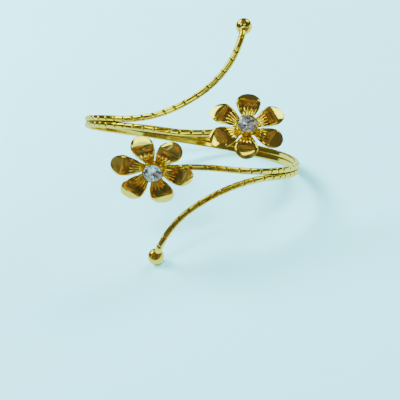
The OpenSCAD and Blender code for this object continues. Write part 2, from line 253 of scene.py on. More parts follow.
class Tree:
    """A node tree, shader or geometry, and the one way that nodes are added to it."""

    def __init__(self, tree: bpy.types.NodeTree) -> None:
        """Takes over a tree and clears it."""
        self.tree = tree
        tree.nodes.clear()

    def node(
        self,
        kind: str,
        settings: Mapping[str, object] | None = None,
        inputs: Mapping[int | str, object] | None = None,
    ) -> bpy.types.Node:
        """Adds a node.

        Args:
            kind: The node's type.
            settings: Its own settings, which are set first.
            inputs: A value or a link for each input, by name or number.

        Returns:
            The node.
        """
        made = self.tree.nodes.new(kind)
        for name, setting in (settings or {}).items():
            setattr(made, name, setting)
        for key, given in (inputs or {}).items():
            socket = self._socket(made.inputs, key)
            if isinstance(given, (list, tuple)) and given and isinstance(given[0], Value):
                for one in given:
                    self.tree.links.new(one.socket, socket)
            elif isinstance(given, Value):
                self.tree.links.new(given.socket, socket)
            else:
                socket.default_value = given
        return made

    def _socket(self, sockets: bpy.types.bpy_prop_collection, key: int | str) -> bpy.types.NodeSocket:
        """Finds a socket.

        Args:
            sockets: A node's inputs or outputs.
            key: The socket's number, or the name of the one in use.

        Returns:
            The socket.
        """
        if isinstance(key, int):
            return sockets[key]
        return next(s for s in sockets if s.name == key and s.enabled)

    def out(self, node: bpy.types.Node, key: int | str = 0) -> Value:
        """Returns an output of a node."""
        return Value(self, self._socket(node.outputs, key))


def opaque(colour: Value | Colour) -> Value | tuple[float, ...]:
    """Returns a colour with its alpha of 1, and a linked colour as it is."""
    return colour if isinstance(colour, Value) else (*colour, 1.0)


class ShaderTree(Tree):
    """A material's tree, with the few mixes and patterns that the finishes use."""

    def __init__(self, material: bpy.types.Material) -> None:
        """Starts a material's tree.

        Args:
            material: The material, whose own nodes are cleared.
        """
        material.use_nodes = True
        super().__init__(material.node_tree)
        self.place = self.out(self.node("ShaderNodeTexCoord"), "Object")

    def attribute(self, name: str) -> Value:
        """Returns an attribute of the piece as a number."""
        return self.out(self.node("ShaderNodeAttribute", {"attribute_name": name}), "Fac")

    def noise(self, size_mm: float, detail: float = 2.0, warp: float = 0.0) -> Value:
        """Returns soft noise from 0 to 1.

        Args:
            size_mm: The size of its patches.
            detail: How much finer noise is added.
            warp: How far the patches are pulled about.

        Returns:
            The noise.
        """
        inputs = {"Vector": self.place, "Scale": 1 / (size_mm * MM), "Detail": detail, "Distortion": warp}
        return self.out(self.node("ShaderNodeTexNoise", {}, inputs), "Fac")

    def cells(self, size_mm: float) -> Value:
        """Returns a random number for each cell of an irregular mosaic."""
        cell = self.node("ShaderNodeTexVoronoi", {}, {"Vector": self.place, "Scale": 1 / (size_mm * MM)})
        return self.out(self.node("ShaderNodeSeparateColor", {}, {0: self.out(cell, "Color")}), 0)

    def mix(self, share: Value, a: Value | Colour, b: Value | Colour) -> Value:
        """Returns colour a where share is 0 and colour b where it is 1."""
        inputs = {0: share, 6: opaque(a), 7: opaque(b)}
        return self.out(self.node("ShaderNodeMix", {"data_type": "RGBA"}, inputs), 2)

    def bump(self, height: Value, depth_mm: float, strength: float) -> Value:
        """Returns the normal bent by a height from 0 to 1 that is depth_mm deep."""
        inputs = {"Strength": strength, "Distance": depth_mm * MM, "Height": height}
        return self.out(self.node("ShaderNodeBump", {}, inputs), "Normal")

    def glow(self, colour: Value | Colour) -> None:
        """Ends the tree in a surface that only gives off light."""
        black = {"Base Color": opaque((0.0, 0.0, 0.0)), "Roughness": 1.0}
        self.surface({**black, "Emission Color": opaque(colour), "Emission Strength": 1.0})

    def surface(self, inputs: Mapping[int | str, object]) -> None:
        """Ends the tree in a principled surface with these inputs."""
        shader = self.out(self.node("ShaderNodeBsdfPrincipled", {}, inputs), 0)
        self.node("ShaderNodeOutputMaterial", {}, {"Surface": shader})


class GeometryTree(Tree):
    """A Geometry Nodes tree with named inputs."""

    def __init__(self, name: str, sizes: Mapping[str, object]) -> None:
        """Starts a tree.

        Args:
            name: The tree's name.
            sizes: The named inputs and their values: numbers, whole numbers or a material.
        """
        group = bpy.data.node_groups.new(name, "GeometryNodeTree")
        super().__init__(group)
        self.sizes = dict(sizes)
        group.interface.new_socket("Geometry", in_out="INPUT", socket_type="NodeSocketGeometry")
        for label, size in self.sizes.items():
            group.interface.new_socket(label, in_out="INPUT", socket_type=self._kind(size))
        group.interface.new_socket("Geometry", in_out="OUTPUT", socket_type="NodeSocketGeometry")
        self.start = self.node("NodeGroupInput")

    @staticmethod
    def _kind(size: object) -> str:
        """Chooses the type of the socket that holds a size.

        Args:
            size: The number, whole number or material.

        Returns:
            The type's name.
        """
        if isinstance(size, bpy.types.Material):
            return "NodeSocketMaterial"
        return "NodeSocketInt" if isinstance(size, int) else "NodeSocketFloat"

    def given(self, label: str) -> Value:
        """Returns a named input."""
        return self.out(self.start, label)

    def named(self, name: str) -> Value:
        """Returns a named attribute as a number."""
        made = self.node("GeometryNodeInputNamedAttribute", {"data_type": "FLOAT"}, {"Name": name})
        return self.out(made, "Attribute")

    def store(self, geometry: Value, name: str, value: Value) -> Value:
        """Stores a number on each point.

        Args:
            geometry: The geometry.
            name: The attribute's name.
            value: The number.

        Returns:
            The geometry with the attribute.
        """
        settings = {"data_type": "FLOAT", "domain": "POINT"}
        inputs = {"Geometry": geometry, "Name": name, "Value": value}
        return self.out(self.node("GeometryNodeStoreNamedAttribute", settings, inputs))

    def vector(self, x: Value | float, y: Value | float, z: Value | float) -> Value:
        """Returns a vector of three values."""
        return self.out(self.node("ShaderNodeCombineXYZ", {}, {0: x, 1: y, 2: z}))

    def random(self, low: Value | float, high: Value | float, seed: Value) -> Value:
        """Returns a random number for each point, from low to high."""
        made = self.node("FunctionNodeRandomValue", {"data_type": "FLOAT"}, {2: low, 3: high, 8: seed})
        return self.out(made, 1)

    def finish(self, geometry: Value) -> None:
        """Ends the tree in Realize Instances and Set Material.

        Args:
            geometry: What the tree has made.
        """
        real = self.out(self.node("GeometryNodeRealizeInstances", {}, {"Geometry": geometry}))
        inputs = {"Geometry": real, "Material": self.given("Material")}
        dressed = self.out(self.node("GeometryNodeSetMaterial", {}, inputs))
        self.node("NodeGroupOutput", {}, {0: dressed})

    def applied(self, start: bpy.types.Object, bevel_mm: float = 0.0) -> bpy.types.Mesh:
        """Runs the tree on an object and takes the object away.

        Args:
            start: The object that the tree starts from.
            bevel_mm: The width of the bevel on its square edges, or 0.

        Returns:
            The plain mesh.
        """
        modifier = start.modifiers.new("shape", "NODES")
        modifier.node_group = self.tree
        sockets = {s.name: s.identifier for s in self.tree.interface.items_tree if s.in_out == "INPUT"}
        for label, size in self.sizes.items():
            modifier[sockets[label]] = size
        if bevel_mm:
            bevel = start.modifiers.new("bevel", "BEVEL")
            bevel.width = bevel_mm
            bevel.segments = BEVEL_SEGMENTS
            bevel.limit_method = "ANGLE"
            bevel.angle_limit = math.radians(BEVEL_FROM_DEGREES)
        graph = bpy.context.evaluated_depsgraph_get()
        mesh = bpy.data.meshes.new_from_object(start.evaluated_get(graph))
        bpy.data.objects.remove(start)
        return mesh


# Meshes


def mesh_of(
    name: str,
    points: np.ndarray,
    faces: Sequence[Sequence[int]],
    attributes: Mapping[str, Sequence[float]] | None = None,
) -> bpy.types.Mesh:
    """Makes a mesh.

    Args:
        name: Its name.
        points: Its points.
        faces: The points' numbers, a row for each face.
        attributes: Numbers for each point, by name.

    Returns:
        The mesh.
    """
    mesh = bpy.data.meshes.new(name)
    mesh.from_pydata([tuple(map(float, p)) for p in points], [], [tuple(f) for f in faces])
    for label, numbers in (attributes or {}).items():
        made = mesh.attributes.new(label, "FLOAT", "POINT")
        made.data.foreach_set("value", np.asarray(numbers, dtype=np.float32))
    mesh.update()
    return mesh


def object_of(mesh: bpy.types.Mesh, name: str) -> bpy.types.Object:
    """Puts a mesh in the scene.

    Args:
        mesh: The mesh.
        name: The object's name.

    Returns:
        The object.
    """
    made = bpy.data.objects.new(name, mesh)
    bpy.context.scene.collection.objects.link(made)
    return made


def piece_of(
    mesh: bpy.types.Mesh, name: str, node: str, slot: Slot, finish: bpy.types.Material, sharp: float
) -> bpy.types.Object:
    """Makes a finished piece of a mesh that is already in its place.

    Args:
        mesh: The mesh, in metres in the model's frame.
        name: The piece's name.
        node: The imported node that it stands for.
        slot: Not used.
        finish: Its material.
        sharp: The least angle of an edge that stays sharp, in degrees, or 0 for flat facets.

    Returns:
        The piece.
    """
    mesh.materials.clear()
    mesh.materials.append(finish)
    if sharp:
        mesh.shade_smooth()
        mesh.set_sharp_from_angle(angle=math.radians(sharp))
    else:
        mesh.shade_flat()
    made = object_of(mesh, name)
    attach(made, BODY)
    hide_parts(node)
    LOG.info("%s: %d faces", name, len(mesh.polygons))
    return made


def tube(rings: np.ndarray) -> tuple[np.ndarray, Faces]:
    """Skins rings of points into a closed tube with flat ends.

    Args:
        rings: Points by ring and by place on the ring.

    Returns:
        The points and the faces.
    """
    count, around = rings.shape[:2]
    number = np.arange(count * around).reshape(count, around)
    here, there = number[:-1], number[1:]
    quads = np.stack([here, np.roll(here, -1, 1), np.roll(there, -1, 1), there], axis=2)
    faces = [tuple(q) for q in quads.reshape(-1, 4).tolist()]
    faces.append(tuple(number[0][::-1].tolist()))
    faces.append(tuple(number[-1].tolist()))
    return rings.reshape(-1, 3), faces


def revolved(profile: Sequence[Span], around: int) -> tuple[np.ndarray, Faces]:
    """Turns a profile about the Z axis.

    Args:
        profile: Radius and height, from the bottom up the outside; radius 0 closes an end.
        around: The number of steps round the axis.

    Returns:
        The points and the faces, facing outward.
    """
    turns = np.arange(around) * 2 * math.pi / around
    points: list[np.ndarray] = []
    rows: list[list[int]] = []
    for r, z in profile:
        first = len(points)
        if r == 0:
            points.append(np.array([0.0, 0.0, z]))
            rows.append([first] * around)
        else:
            points.extend(np.array([r * math.cos(a), r * math.sin(a), z]) for a in turns)
            rows.append(list(range(first, first + around)))
    faces: Faces = []
    for low, high in zip(rows, rows[1:]):
        for k in range(around):
            n = (k + 1) % around
            face = [low[k], low[n], high[n], high[k]]
            faces.append(tuple(dict.fromkeys(face)))
    return np.array(points), faces


# Finishes


@dataclass(frozen=True)
class GoldFinish:
    """Polished gold plate: its colours, its wear, painted shade in its cuts and seams and, on the petals'
    feet, a painted warm reflection.
    """

    name: str
    roughness: float
    wear: float
    ripple_mm: float
    marks: tuple[str, ...] = ()
    patch: str = ""
    colour: Colour = (0.97, 0.79, 0.18)
    warm: Colour = (0.95, 0.7, 0.13)
    # The colour of painted shade laid on each mark: the notches, the wires' seam and the petals' grooves.
    dirt: Colour = (0.15, 0.08, 0.02)
    # The orange of a painted reflection on the petals' feet.
    warm_reflection: Colour = (0.75, 0.33, 0.06)
    tone_mm: float = 5.0
    tone_edge: Span = (0.35, 0.7)
    smear_mm: float = 1.6
    patch_mm: float = 2.4
    patch_edge: Span = (0.42, 0.6)
    dirt_edge: Span = (0.25, 0.95)
    dirt_cover: float = 0.85
    dirt_roughness: float = 0.18
    wave_mm: float = 3.2
    wave_share: float = 0.8
    grain_mm: float = 0.09
    grain_share: float = 0.04
    bump_strength: float = 0.55
    least_roughness: float = 0.04

    def material(self) -> bpy.types.Material:
        """Makes the material.

        Returns:
            The material.
        """
        made = bpy.data.materials.new(self.name)
        tree = ShaderTree(made)
        tone = tree.noise(self.tone_mm, detail=3.0, warp=0.6).between(*self.tone_edge)
        colour = tree.mix(tone, self.colour, self.warm)
        smear = tree.noise(self.smear_mm, detail=4.0, warp=1.2)
        rough = self.roughness + (smear - 0.5) * self.wear
        # Cloudy patches of painted orange reflection on the petals' feet.
        if self.patch:
            cloud = tree.noise(self.patch_mm, detail=2.0, warp=1.5).between(*self.patch_edge)
            colour = tree.mix(tree.attribute(self.patch) * cloud, colour, self.warm_reflection)
        # Each mark darkens the gold to painted shade and roughens it a little.
        for mark in self.marks:
            dirt = tree.attribute(mark).between(*self.dirt_edge)
            colour = tree.mix(dirt * self.dirt_cover, colour, self.dirt)
            rough = rough + dirt * self.dirt_roughness
        waves = tree.noise(self.wave_mm, detail=1.0) * self.wave_share
        waves = waves + tree.noise(self.grain_mm, detail=2.0) * self.grain_share
        normal = tree.bump(waves, self.ripple_mm, self.bump_strength)
        rough = rough.most(self.least_roughness)
        tree.surface({"Base Color": colour, "Metallic": 1.0, "Roughness": rough, "Normal": normal})
        return made


@dataclass(frozen=True)
class CrystalFinish:
    """Clear cut crystal with a silver back: glass over, and foil under, its girdle; the foil's facets glow
    in their own tones, a painted sparkle.
    """

    name: str = "crystal"
    clear: Colour = (0.97, 0.98, 0.98)
    bright: Colour = (0.74, 0.74, 0.72)
    dull: Colour = (0.055, 0.058, 0.062)
    index: float = 1.56
    painted_glow: float = 0.34
    facet_share: float = 0.45
    spark_mm: float = 0.85
    spark_share: float = 0.6
    tint_edge: Span = (0.15, 0.85)
    polish: float = 0.03
    haze_mm: float = 0.6
    haze: float = 0.05

    def material(self) -> bpy.types.Material:
        """Makes the material.

        Returns:
            The material.
        """
        made = bpy.data.materials.new(self.name)
        tree = ShaderTree(made)
        foil = tree.attribute("foil")
        tint = tree.attribute("facet") * self.facet_share + tree.cells(self.spark_mm) * self.spark_share
        back = tree.mix(tint.between(*self.tint_edge), self.dull, self.bright)
        tree.surface(
            {
                "Base Color": tree.mix(foil, self.clear, back),
                "Metallic": foil,
                "Roughness": self.polish + tree.noise(self.haze_mm, detail=2.0) * self.haze,
                "IOR": self.index,
                "Transmission Weight": 1.0,
                # The foil's facets glow in their tones, lit by no lamp: painted sparkle.
                "Emission Color": tree.mix(foil, (0.0, 0.0, 0.0), back),
                "Emission Strength": self.painted_glow,
            }
        )
        return made


@dataclass(frozen=True)
class Finishes:
    """The part's materials, each made once."""

    wire: bpy.types.Material
    petal: bpy.types.Material
    cup: bpy.types.Material
    stone: bpy.types.Material

    @classmethod
    def made(cls) -> "Finishes":
        """Makes every finish.

        Returns:
            The finishes.
        """
        wire = GoldFinish("wire gold", 0.09, 0.07, 0.03, ("notch", "seam"))
        petal = GoldFinish("petal gold", 0.10, 0.06, 0.035, ("groove",), "patch")
        cup = GoldFinish("cup gold", 0.14, 0.08, 0.01)
        return cls(wire.material(), petal.material(), cup.material(), CrystalFinish().material())


# Courses of the wires


@dataclass
class Course:
    """A wire's course: places, headings, outward directions and the run of each step."""

    places: np.ndarray
    headings: np.ndarray
    outwards: np.ndarray
    runs: np.ndarray

    @classmethod
    def walked(cls, start: Sequence[np.ndarray], steps: Sequence[tuple], radius: float) -> "Course":
        """Walks a course from a start.

        Args:
            start: Place, heading and outward direction.
            steps: Run, steer, curl and hold of each step, as in the solids.
            radius: The radius of the cylinder that the wire holds to.

        Returns:
            The course.
        """
        place, heading, outward = start
        rows = [(place, heading, outward)]
        for run, steer, curl, hold in steps:
            slope = math.asin(max(-1.0, min(1.0, heading[2])))
            turn = hold * run / radius * PER_RADIAN
            across = np.cross(outward, heading)
            spin = across * (turn * math.cos(slope) ** 2 + curl) + outward * steer
            spin = spin + heading * (turn * math.sin(slope) * math.cos(slope))
            place = place + turned(heading, spin / 2) * run
            heading, outward = unit(turned(heading, spin)), unit(turned(outward, spin))
            rows.append((place, heading, outward))
        columns = [np.array(c) for c in zip(*rows)]
        return cls(*columns, np.array([0.0] + [s[0] for s in steps]))

    def across(self) -> np.ndarray:
        """Returns the direction across the wire at each place."""
        return np.cross(self.outwards, self.headings)

    def beside(self, index: int, offset: float) -> list[np.ndarray]:
        """Returns the start of a wire that lies beside this one at a place."""
        shift = self.across()[index] * offset
        return [self.places[index] + shift, self.headings[index], self.outwards[index]]


@dataclass(frozen=True)
class CuffSizes:
    """The solids' named sizes, in millimetres and degrees.

    A pair holds the upper side's size and the lower side's. A course is a row of stretches: each
    has its share of the run, and how far it steers, curls and holds to the arm's cylinder. The
    pitches are the longest steps on the band, on the arms and on the curls.
    """

    inner_r: float = 38.5
    wire_w: float = 2.25
    wire_t: float = 1.75
    wire_side: float = 0.6
    band_run: float = 91.0
    band_rise: float = 5.3
    ball_runs: tuple[float, float] = (51.7, 45.1)
    curl_run: float = 9.0
    ball_d: float = 5.7
    flower_runs: tuple[float, float] = (47.4, 44.9)
    tilts: tuple[float, float] = (37.0, 30.0)
    pad_w: float = 4.4
    pad_t: float = 1.0
    gap: float = 0.05
    rest_lean: float = 22.02
    rest_side: float = -16.36
    pitches: tuple[float, float, float] = (4.6, 2.2, 1.5)
    peg_share: float = 0.47
    flat_share: float = 0.62
    band_course: tuple = ((0.67, 0, 0, 1), (0.33, -3.6, 0, 1))
    ball_courses: tuple = (
        (
            (0.214, 10.2, 0, 1),
            (0.214, 15.3, 0, 1),
            (0.214, 12.3, 0, 1),
            (0.214, 14.9, 0, 1),
            (0.144, 13.9, 0, 1),
        ),
        ((0.245, 12.6, 0, 1), (0.245, 13.2, 0, 1), (0.245, 11.5, 0, 1), (0.265, 20.3, 0, 1)),
    )
    curl_courses: tuple = (((1, -6.1, 44.7, 0.5),), ((1, 6, 41.8, 0.5),))
    flower_courses: tuple = (
        ((0.422, -5.8, 0, 1), (0.274, 9.2, 0, 1), (0.304, 5.7, 0, 0)),
        ((0.445, -5.8, 0, 1), (0.29, 8.3, 0, 1), (0.265, 0.5, 0, 0)),
    )

    @staticmethod
    def steps(course: Sequence[tuple], run: float, pitch: float) -> list[tuple]:
        """Cuts a course into steps.

        Args:
            course: Share of the run, steer, curl and hold of each stretch.
            run: The course's whole length.
            pitch: The longest step.

        Returns:
            Run, steer, curl and hold of each step.
        """
        made = []
        for share, steer, curl, hold in course:
            n = max(1, math.ceil(share * run / pitch))
            made += [(share * run / n, steer / n, curl / n, hold)] * n
        return made


@dataclass
class Cuff:
    """The whole course of the cuff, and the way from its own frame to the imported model's."""

    sizes: CuffSizes = field(default_factory=CuffSizes)

    def __post_init__(self) -> None:
        """Works out the courses and the resting place."""
        s = self.sizes
        rise = math.radians(s.band_rise)
        heading = np.array([-math.cos(rise), 0, math.sin(rise)])
        back = [np.array([0, s.inner_r, 0.0]), heading, np.array([0, 1.0, 0])]
        band_pitch, arm_pitch, curl_pitch = s.pitches
        self.half = Course.walked(back, s.steps(s.band_course, s.band_run, band_pitch), s.inner_r)
        ball_start = self.half.beside(-1, s.wire_w / 2)
        flower_start = self.half.beside(-1, -s.wire_w / 2)
        self.ball_arms: list[Course] = []
        self.flower_arms: list[Course] = []
        for k in (side.index for side in Side):
            ball_steps = s.steps(s.ball_courses[k], s.ball_runs[k], arm_pitch)
            ball_steps += s.steps(s.curl_courses[k], s.curl_run, curl_pitch)
            flower_steps = s.steps(s.flower_courses[k], s.flower_runs[k], arm_pitch)
            self.ball_arms.append(Course.walked(ball_start, ball_steps, s.inner_r))
            self.flower_arms.append(Course.walked(flower_start, flower_steps, s.inner_r))
        self.rest = rotation("Y", -s.rest_side) @ rotation("X", -s.rest_lean)
        low, high = (Vector(corner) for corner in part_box("upper_ball"))
        centre = (low + high) / 2 / MM
        self.shift = centre - self.rest @ Vector(self.ball_place(Side.UPPER)[0])
        self.to_world = Matrix.Scale(MM, 4) @ Matrix.Translation(self.shift) @ self.rest

    @staticmethod
    def half_turn(v: np.ndarray, side: Side) -> np.ndarray:
        """Turns the lower side's vectors half round about the Y axis."""
        return v if side is Side.UPPER else v * np.array([-1, 1, -1])

    def end_of(self, arm: Course, side: Side) -> tuple[np.ndarray, np.ndarray, np.ndarray]:
        """Returns the place, heading and outward direction at an arm's end."""
        return tuple(self.half_turn(v[-1], side) for v in (arm.places, arm.headings, arm.outwards))

    def ball_place(self, side: Side) -> tuple[np.ndarray, np.ndarray]:
        """Places a ball on its wire's end.

        Args:
            side: Which ball.

        Returns:
            The ball's centre and the direction from it to its wire.
        """
        s = self.sizes
        place, heading, outward = self.end_of(self.ball_arms[side.index], side)
        flat = math.sqrt((s.ball_d / 2) ** 2 - (s.wire_w * s.flat_share) ** 2)
        centre = place + outward * s.wire_t * s.peg_share + heading * (flat + s.gap)
        return centre, -heading

    def flower_matrix(self, side: Side, turn: float) -> Matrix:
        """Returns the way from a flower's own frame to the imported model's.

        Args:
            side: Which flower.
            turn: How far it is turned about its own axis, in degrees.

        Returns:
            The matrix, which also goes from millimetres to metres.
        """
        place, heading, outward = self.end_of(self.flower_arms[side.index], side)
        tilt = math.radians(self.sizes.tilts[side.index])
        face = outward * math.cos(tilt) + np.cross(outward, heading) * math.sin(tilt)
        x = unit(np.cross([0, 0, 1], face))
        own = Matrix([*zip(x, np.cross(face, x), face, place), (0, 0, 0, 1)])
        return self.to_world @ own @ rotation("Z", turn)

    def along(self, direction: np.ndarray, place: np.ndarray) -> Matrix:
        """Returns the way from a frame whose Z axis lies along a direction to the model's."""
        turn = Vector((0, 0, 1)).rotation_difference(Vector(direction)).to_matrix().to_4x4()
        return self.to_world @ Matrix.Translation(Vector(place)) @ turn


# The wires


@dataclass(frozen=True)
class Station:
    """A place on a wire's way, with the wire's directions and state there.

    to_go is the distance to the flower's centre, tilt the turn towards the flower's face in
    degrees, and joined is 1 where the wire is soldered to the other.
    """

    place: np.ndarray
    across: np.ndarray
    outward: np.ndarray
    to_go: float = FAR_MM
    tilt: float = 0.0
    joined: float = 0.0


@dataclass
class WireBand:
    """The two half-round wires, joined round the back and engraved on their outer side.

    The pad's tables give how far it is spread and thinned at distances from the flower's centre,
    in shares of the pad's width.
    """

    cuff: Cuff
    ring_pitch: float = 0.19
    corner: float = 0.1
    corner_cut: float = 0.3
    dome_steps: int = 12
    flat_steps: int = 4
    dome_breadth: float = 1.25
    off_dome: float = 9.0
    edge_depth: float = 0.35
    seam_from: float = 0.55
    seam_soft: float = 0.4
    notch_pitch: float = 4.15
    notch_scatter: float = 0.75
    notch_slant: float = 1.05
    notch_reach: float = 1.6
    notch_turn: float = 0.4
    notch_width: float = 0.72
    notch_depth: float = 0.26
    notch_round: float = 1.4
    notch_seeds: tuple[int, int] = (4, 11)
    pad_spread: tuple[Span, ...] = ((-0.45, 0.3), (-0.3, 0.8), (0, 1), (0.4, 0.95), (1.4, 0))
    pad_thinned: tuple[Span, ...] = ((1.05, 1), (1.8, 0))
    pad_end: float = 0.42
    pad_side_share: float = 0.7
    tilt_done: float = 0.35
    sharp: float = 42.0

    def _station(
        self, course: Course, side: Side, index: int, offset: float = 0.0, **facts: float
    ) -> Station:
        """Takes a place from a course.

        Args:
            course: The course, on the upper side.
            side: The side that the wire is on there.
            index: Which of the course's places.
            offset: How far the wire lies beside the course.
            facts: The distance to the flower, the tilt and the joint, where they matter.

        Returns:
            The place on the wire.
        """
        half_turn = self.cuff.half_turn
        across = half_turn(course.across()[index], side) * side.value
        place = half_turn(course.places[index], side) + across * offset
        return Station(place, across, half_turn(course.outwards[index], side), **facts)

    def _ball_arm(self, side: Side) -> list[Station]:
        """Returns the places from a parting to the ball."""
        arm = self.cuff.ball_arms[side.index]
        return [self._station(arm, side, k) for k in range(1, len(arm.runs))]

    def _flower_arm(self, side: Side) -> list[Station]:
        """Gathers the places from a parting to the flower, with the tilt towards its face.

        Args:
            side: Which arm.

        Returns:
            The places.
        """
        s = self.cuff.sizes
        arm = self.cuff.flower_arms[side.index]
        total, gone = arm.runs.sum(), np.cumsum(arm.runs)
        last = s.flower_courses[side.index][-1][0] * s.flower_runs[side.index]
        stations = []
        for k in range(1, len(arm.runs)):
            away = total - gone[k]
            done = float(ease((1 - away / last) / (1 - self.tilt_done)))
            tilt = done * s.tilts[side.index] * side.value
            stations.append(self._station(arm, side, k, to_go=away, tilt=tilt))
        return stations

    def _rows(self, upper: bool) -> dict[str, np.ndarray]:
        """Gathers one wire's places, from its upper arm's end round the back to its lower arm's.

        Args:
            upper: The wire that ends in the upper ball, or else the other.

        Returns:
            A column for each fact of a place, by its name.
        """
        half = self.cuff.half
        offset = self.cuff.sizes.wire_w / 2 * (1 if upper else -1)
        before = self._ball_arm(Side.UPPER) if upper else self._flower_arm(Side.UPPER)
        after = self._flower_arm(Side.LOWER) if upper else self._ball_arm(Side.LOWER)
        there = range(len(half.runs) - 1, -1, -1)
        back = [self._station(half, Side.UPPER, k, offset, joined=1.0) for k in there]
        back += [self._station(half, Side.LOWER, k, offset, joined=1.0) for k in range(1, len(half.runs))]
        stations = before[::-1] + back + after
        columns = {f.name: np.array([getattr(s, f.name) for s in stations]) for f in fields(Station)}
        return self._with_pad_end(columns, upper)

    def _with_pad_end(self, rows: dict[str, np.ndarray], upper: bool) -> dict[str, np.ndarray]:
        """Carries the flower's end of a wire on past the flower's centre.

        Args:
            rows: The wire's columns.
            upper: Which wire, because the two end in a flower at opposite ends.

        Returns:
            The columns with one more place.
        """
        away = self.pad_end * self.cuff.sizes.pad_w
        end, before = (-1, -2) if upper else (0, 1)
        step = unit(rows["place"][end] - rows["place"][before]) * away
        extra = {name: column[end] for name, column in rows.items()}
        extra["place"] = extra["place"] + step
        extra["to_go"] = -away
        where = len(rows["place"]) if upper else 0
        return {name: np.insert(column, where, extra[name], axis=0) for name, column in rows.items()}

    def _smoothed(self, rows: dict[str, np.ndarray]) -> dict[str, np.ndarray]:
        """Fills a wire's columns in to the ring pitch along a smooth curve.

        Args:
            rows: The wire's columns.

        Returns:
            The finer columns, and the run from the wire's start.
        """
        places = rows["place"]
        run = np.concatenate([[0], np.cumsum(np.linalg.norm(np.diff(places, axis=0), axis=1))])
        fine = np.linspace(0, run[-1], int(run[-1] / self.ring_pitch) + 1)
        k = np.clip(np.searchsorted(run, fine, side="right") - 1, 0, len(run) - 2)
        h = run[k + 1] - run[k]
        t = (fine - run[k]) / h

        def curve(column: np.ndarray) -> np.ndarray:
            """Reads a column off the smooth curve.

            Args:
                column: Its numbers at the places.

            Returns:
                Its numbers at the rings.
            """
            slope = np.gradient(column, run, axis=0)
            a, b, c, d = column[k], column[k + 1], slope[k], slope[k + 1]
            tt, hh = t[:, None], h[:, None]
            return (
                a * (2 * tt**3 - 3 * tt**2 + 1)
                + b * (3 * tt**2 - 2 * tt**3)
                + c * hh * (tt**3 - 2 * tt**2 + tt)
                + d * hh * (tt**3 - tt**2)
            )

        made = {name: curve(rows[name]) for name in ("place", "across", "outward")}
        heading = np.gradient(made["place"], fine, axis=0)
        heading /= np.linalg.norm(heading, axis=1)[:, None]
        out = made["outward"] - heading * (made["outward"] * heading).sum(1)[:, None]
        out /= np.linalg.norm(out, axis=1)[:, None]
        flat = np.cross(out, heading)
        flat *= np.sign((flat * made["across"]).sum(1))[:, None]
        made.update(outward=out, across=flat, run=fine)
        for name in ("to_go", "tilt", "joined"):
            made[name] = np.interp(fine, run, rows[name])
        far = rows["to_go"] == FAR_MM
        edge = np.interp(fine, run, far.astype(float)) > 0
        made["to_go"] = np.where(edge, FAR_MM, made["to_go"])
        return made

    def _section(self, width: float, side: float, thick: float) -> np.ndarray:
        """Works out a half-round section.

        Args:
            width: The wire's width there.
            side: The height of its straight sides.
            thick: Its thickness.

        Returns:
            Rows of place across, place outward, place on the unrolled dome and share of dome.
        """
        half, c, off = width / 2, self.corner, self.off_dome
        cut = self.corner_cut * c
        arc = self.dome_breadth * half
        rows = [(x, 0.0, off, 0.0) for x in np.linspace(-half + c, half - c, self.flat_steps + 1)]
        rows += [(half - cut, cut, off, 0.0), (half, c, off, 0.0)]
        for a in np.linspace(0, math.pi, self.dome_steps + 1):
            x, y = half * math.cos(a), side + (thick - side) * math.sin(a)
            rows.append((x, y, arc * (1 - 2 * a / math.pi), min(1.0, self.edge_depth + math.sin(a))))
        rows += [(-half, c, off, 0.0), (-half + cut, cut, off, 0.0)]
        return np.array(rows)

    def _wire(self, upper: bool) -> bpy.types.Mesh:
        """Sweeps one wire and engraves it.

        Args:
            upper: The wire that ends in the upper ball, or else the other.

        Returns:
            Its mesh in millimetres in the cuff's frame.
        """
        s = self.cuff.sizes
        rows = self._smoothed(self._rows(upper))
        share = rows["to_go"] / s.pad_w
        spread = np.interp(share, *zip(*self.pad_spread))
        thinned = np.interp(share, *zip(*self.pad_thinned))
        thinned = np.where(share < self.pad_thinned[0][0], 1.0, thinned)
        rings, over, dome, seam = [], [], [], []
        inner_side = -1.0 if upper else 1.0
        for k in range(len(share)):
            section = self._section(
                s.wire_w + (s.pad_w - s.wire_w) * spread[k],
                s.wire_side + (s.pad_t * self.pad_side_share - s.wire_side) * thinned[k],
                s.wire_t + (s.pad_t - s.wire_t) * thinned[k],
            )
            roll = math.radians(rows["tilt"][k])
            out, flat = rows["outward"][k], rows["across"][k]
            tilted = out * math.cos(roll) + flat * math.sin(roll)
            side = flat * math.cos(roll) - out * math.sin(roll)
            rings.append(rows["place"][k] + section[:, :1] * side + section[:, 1:2] * tilted)
            over.append(section[:, 2])
            dome.append(section[:, 3] * (1 - spread[k]))
            reach = section[:, 0] * inner_side / (s.wire_w / 2)
            # The seam, where the two wires meet, darkens the wire gold: painted shade.
            seam.append(rows["joined"][k] * np.clip((reach - self.seam_from) / self.seam_soft, 0, 1))
        points, faces = tube(np.array(rings))
        around = len(over[0])
        step = rows["place"][1] - rows["place"][0]
        if np.dot(np.cross(rows["across"][0], rows["outward"][0]), step) < 0:
            faces = [f[::-1] for f in faces]
        attributes = {
            "run": np.repeat(rows["run"], around),
            "over": np.concatenate(over),
            "dome": np.concatenate(dome),
            "seam": np.concatenate(seam),
        }
        mesh = mesh_of("wire", points, faces, attributes)
        return self._engraver(upper, rows["run"][-1]).applied(object_of(mesh, "wire blank"))

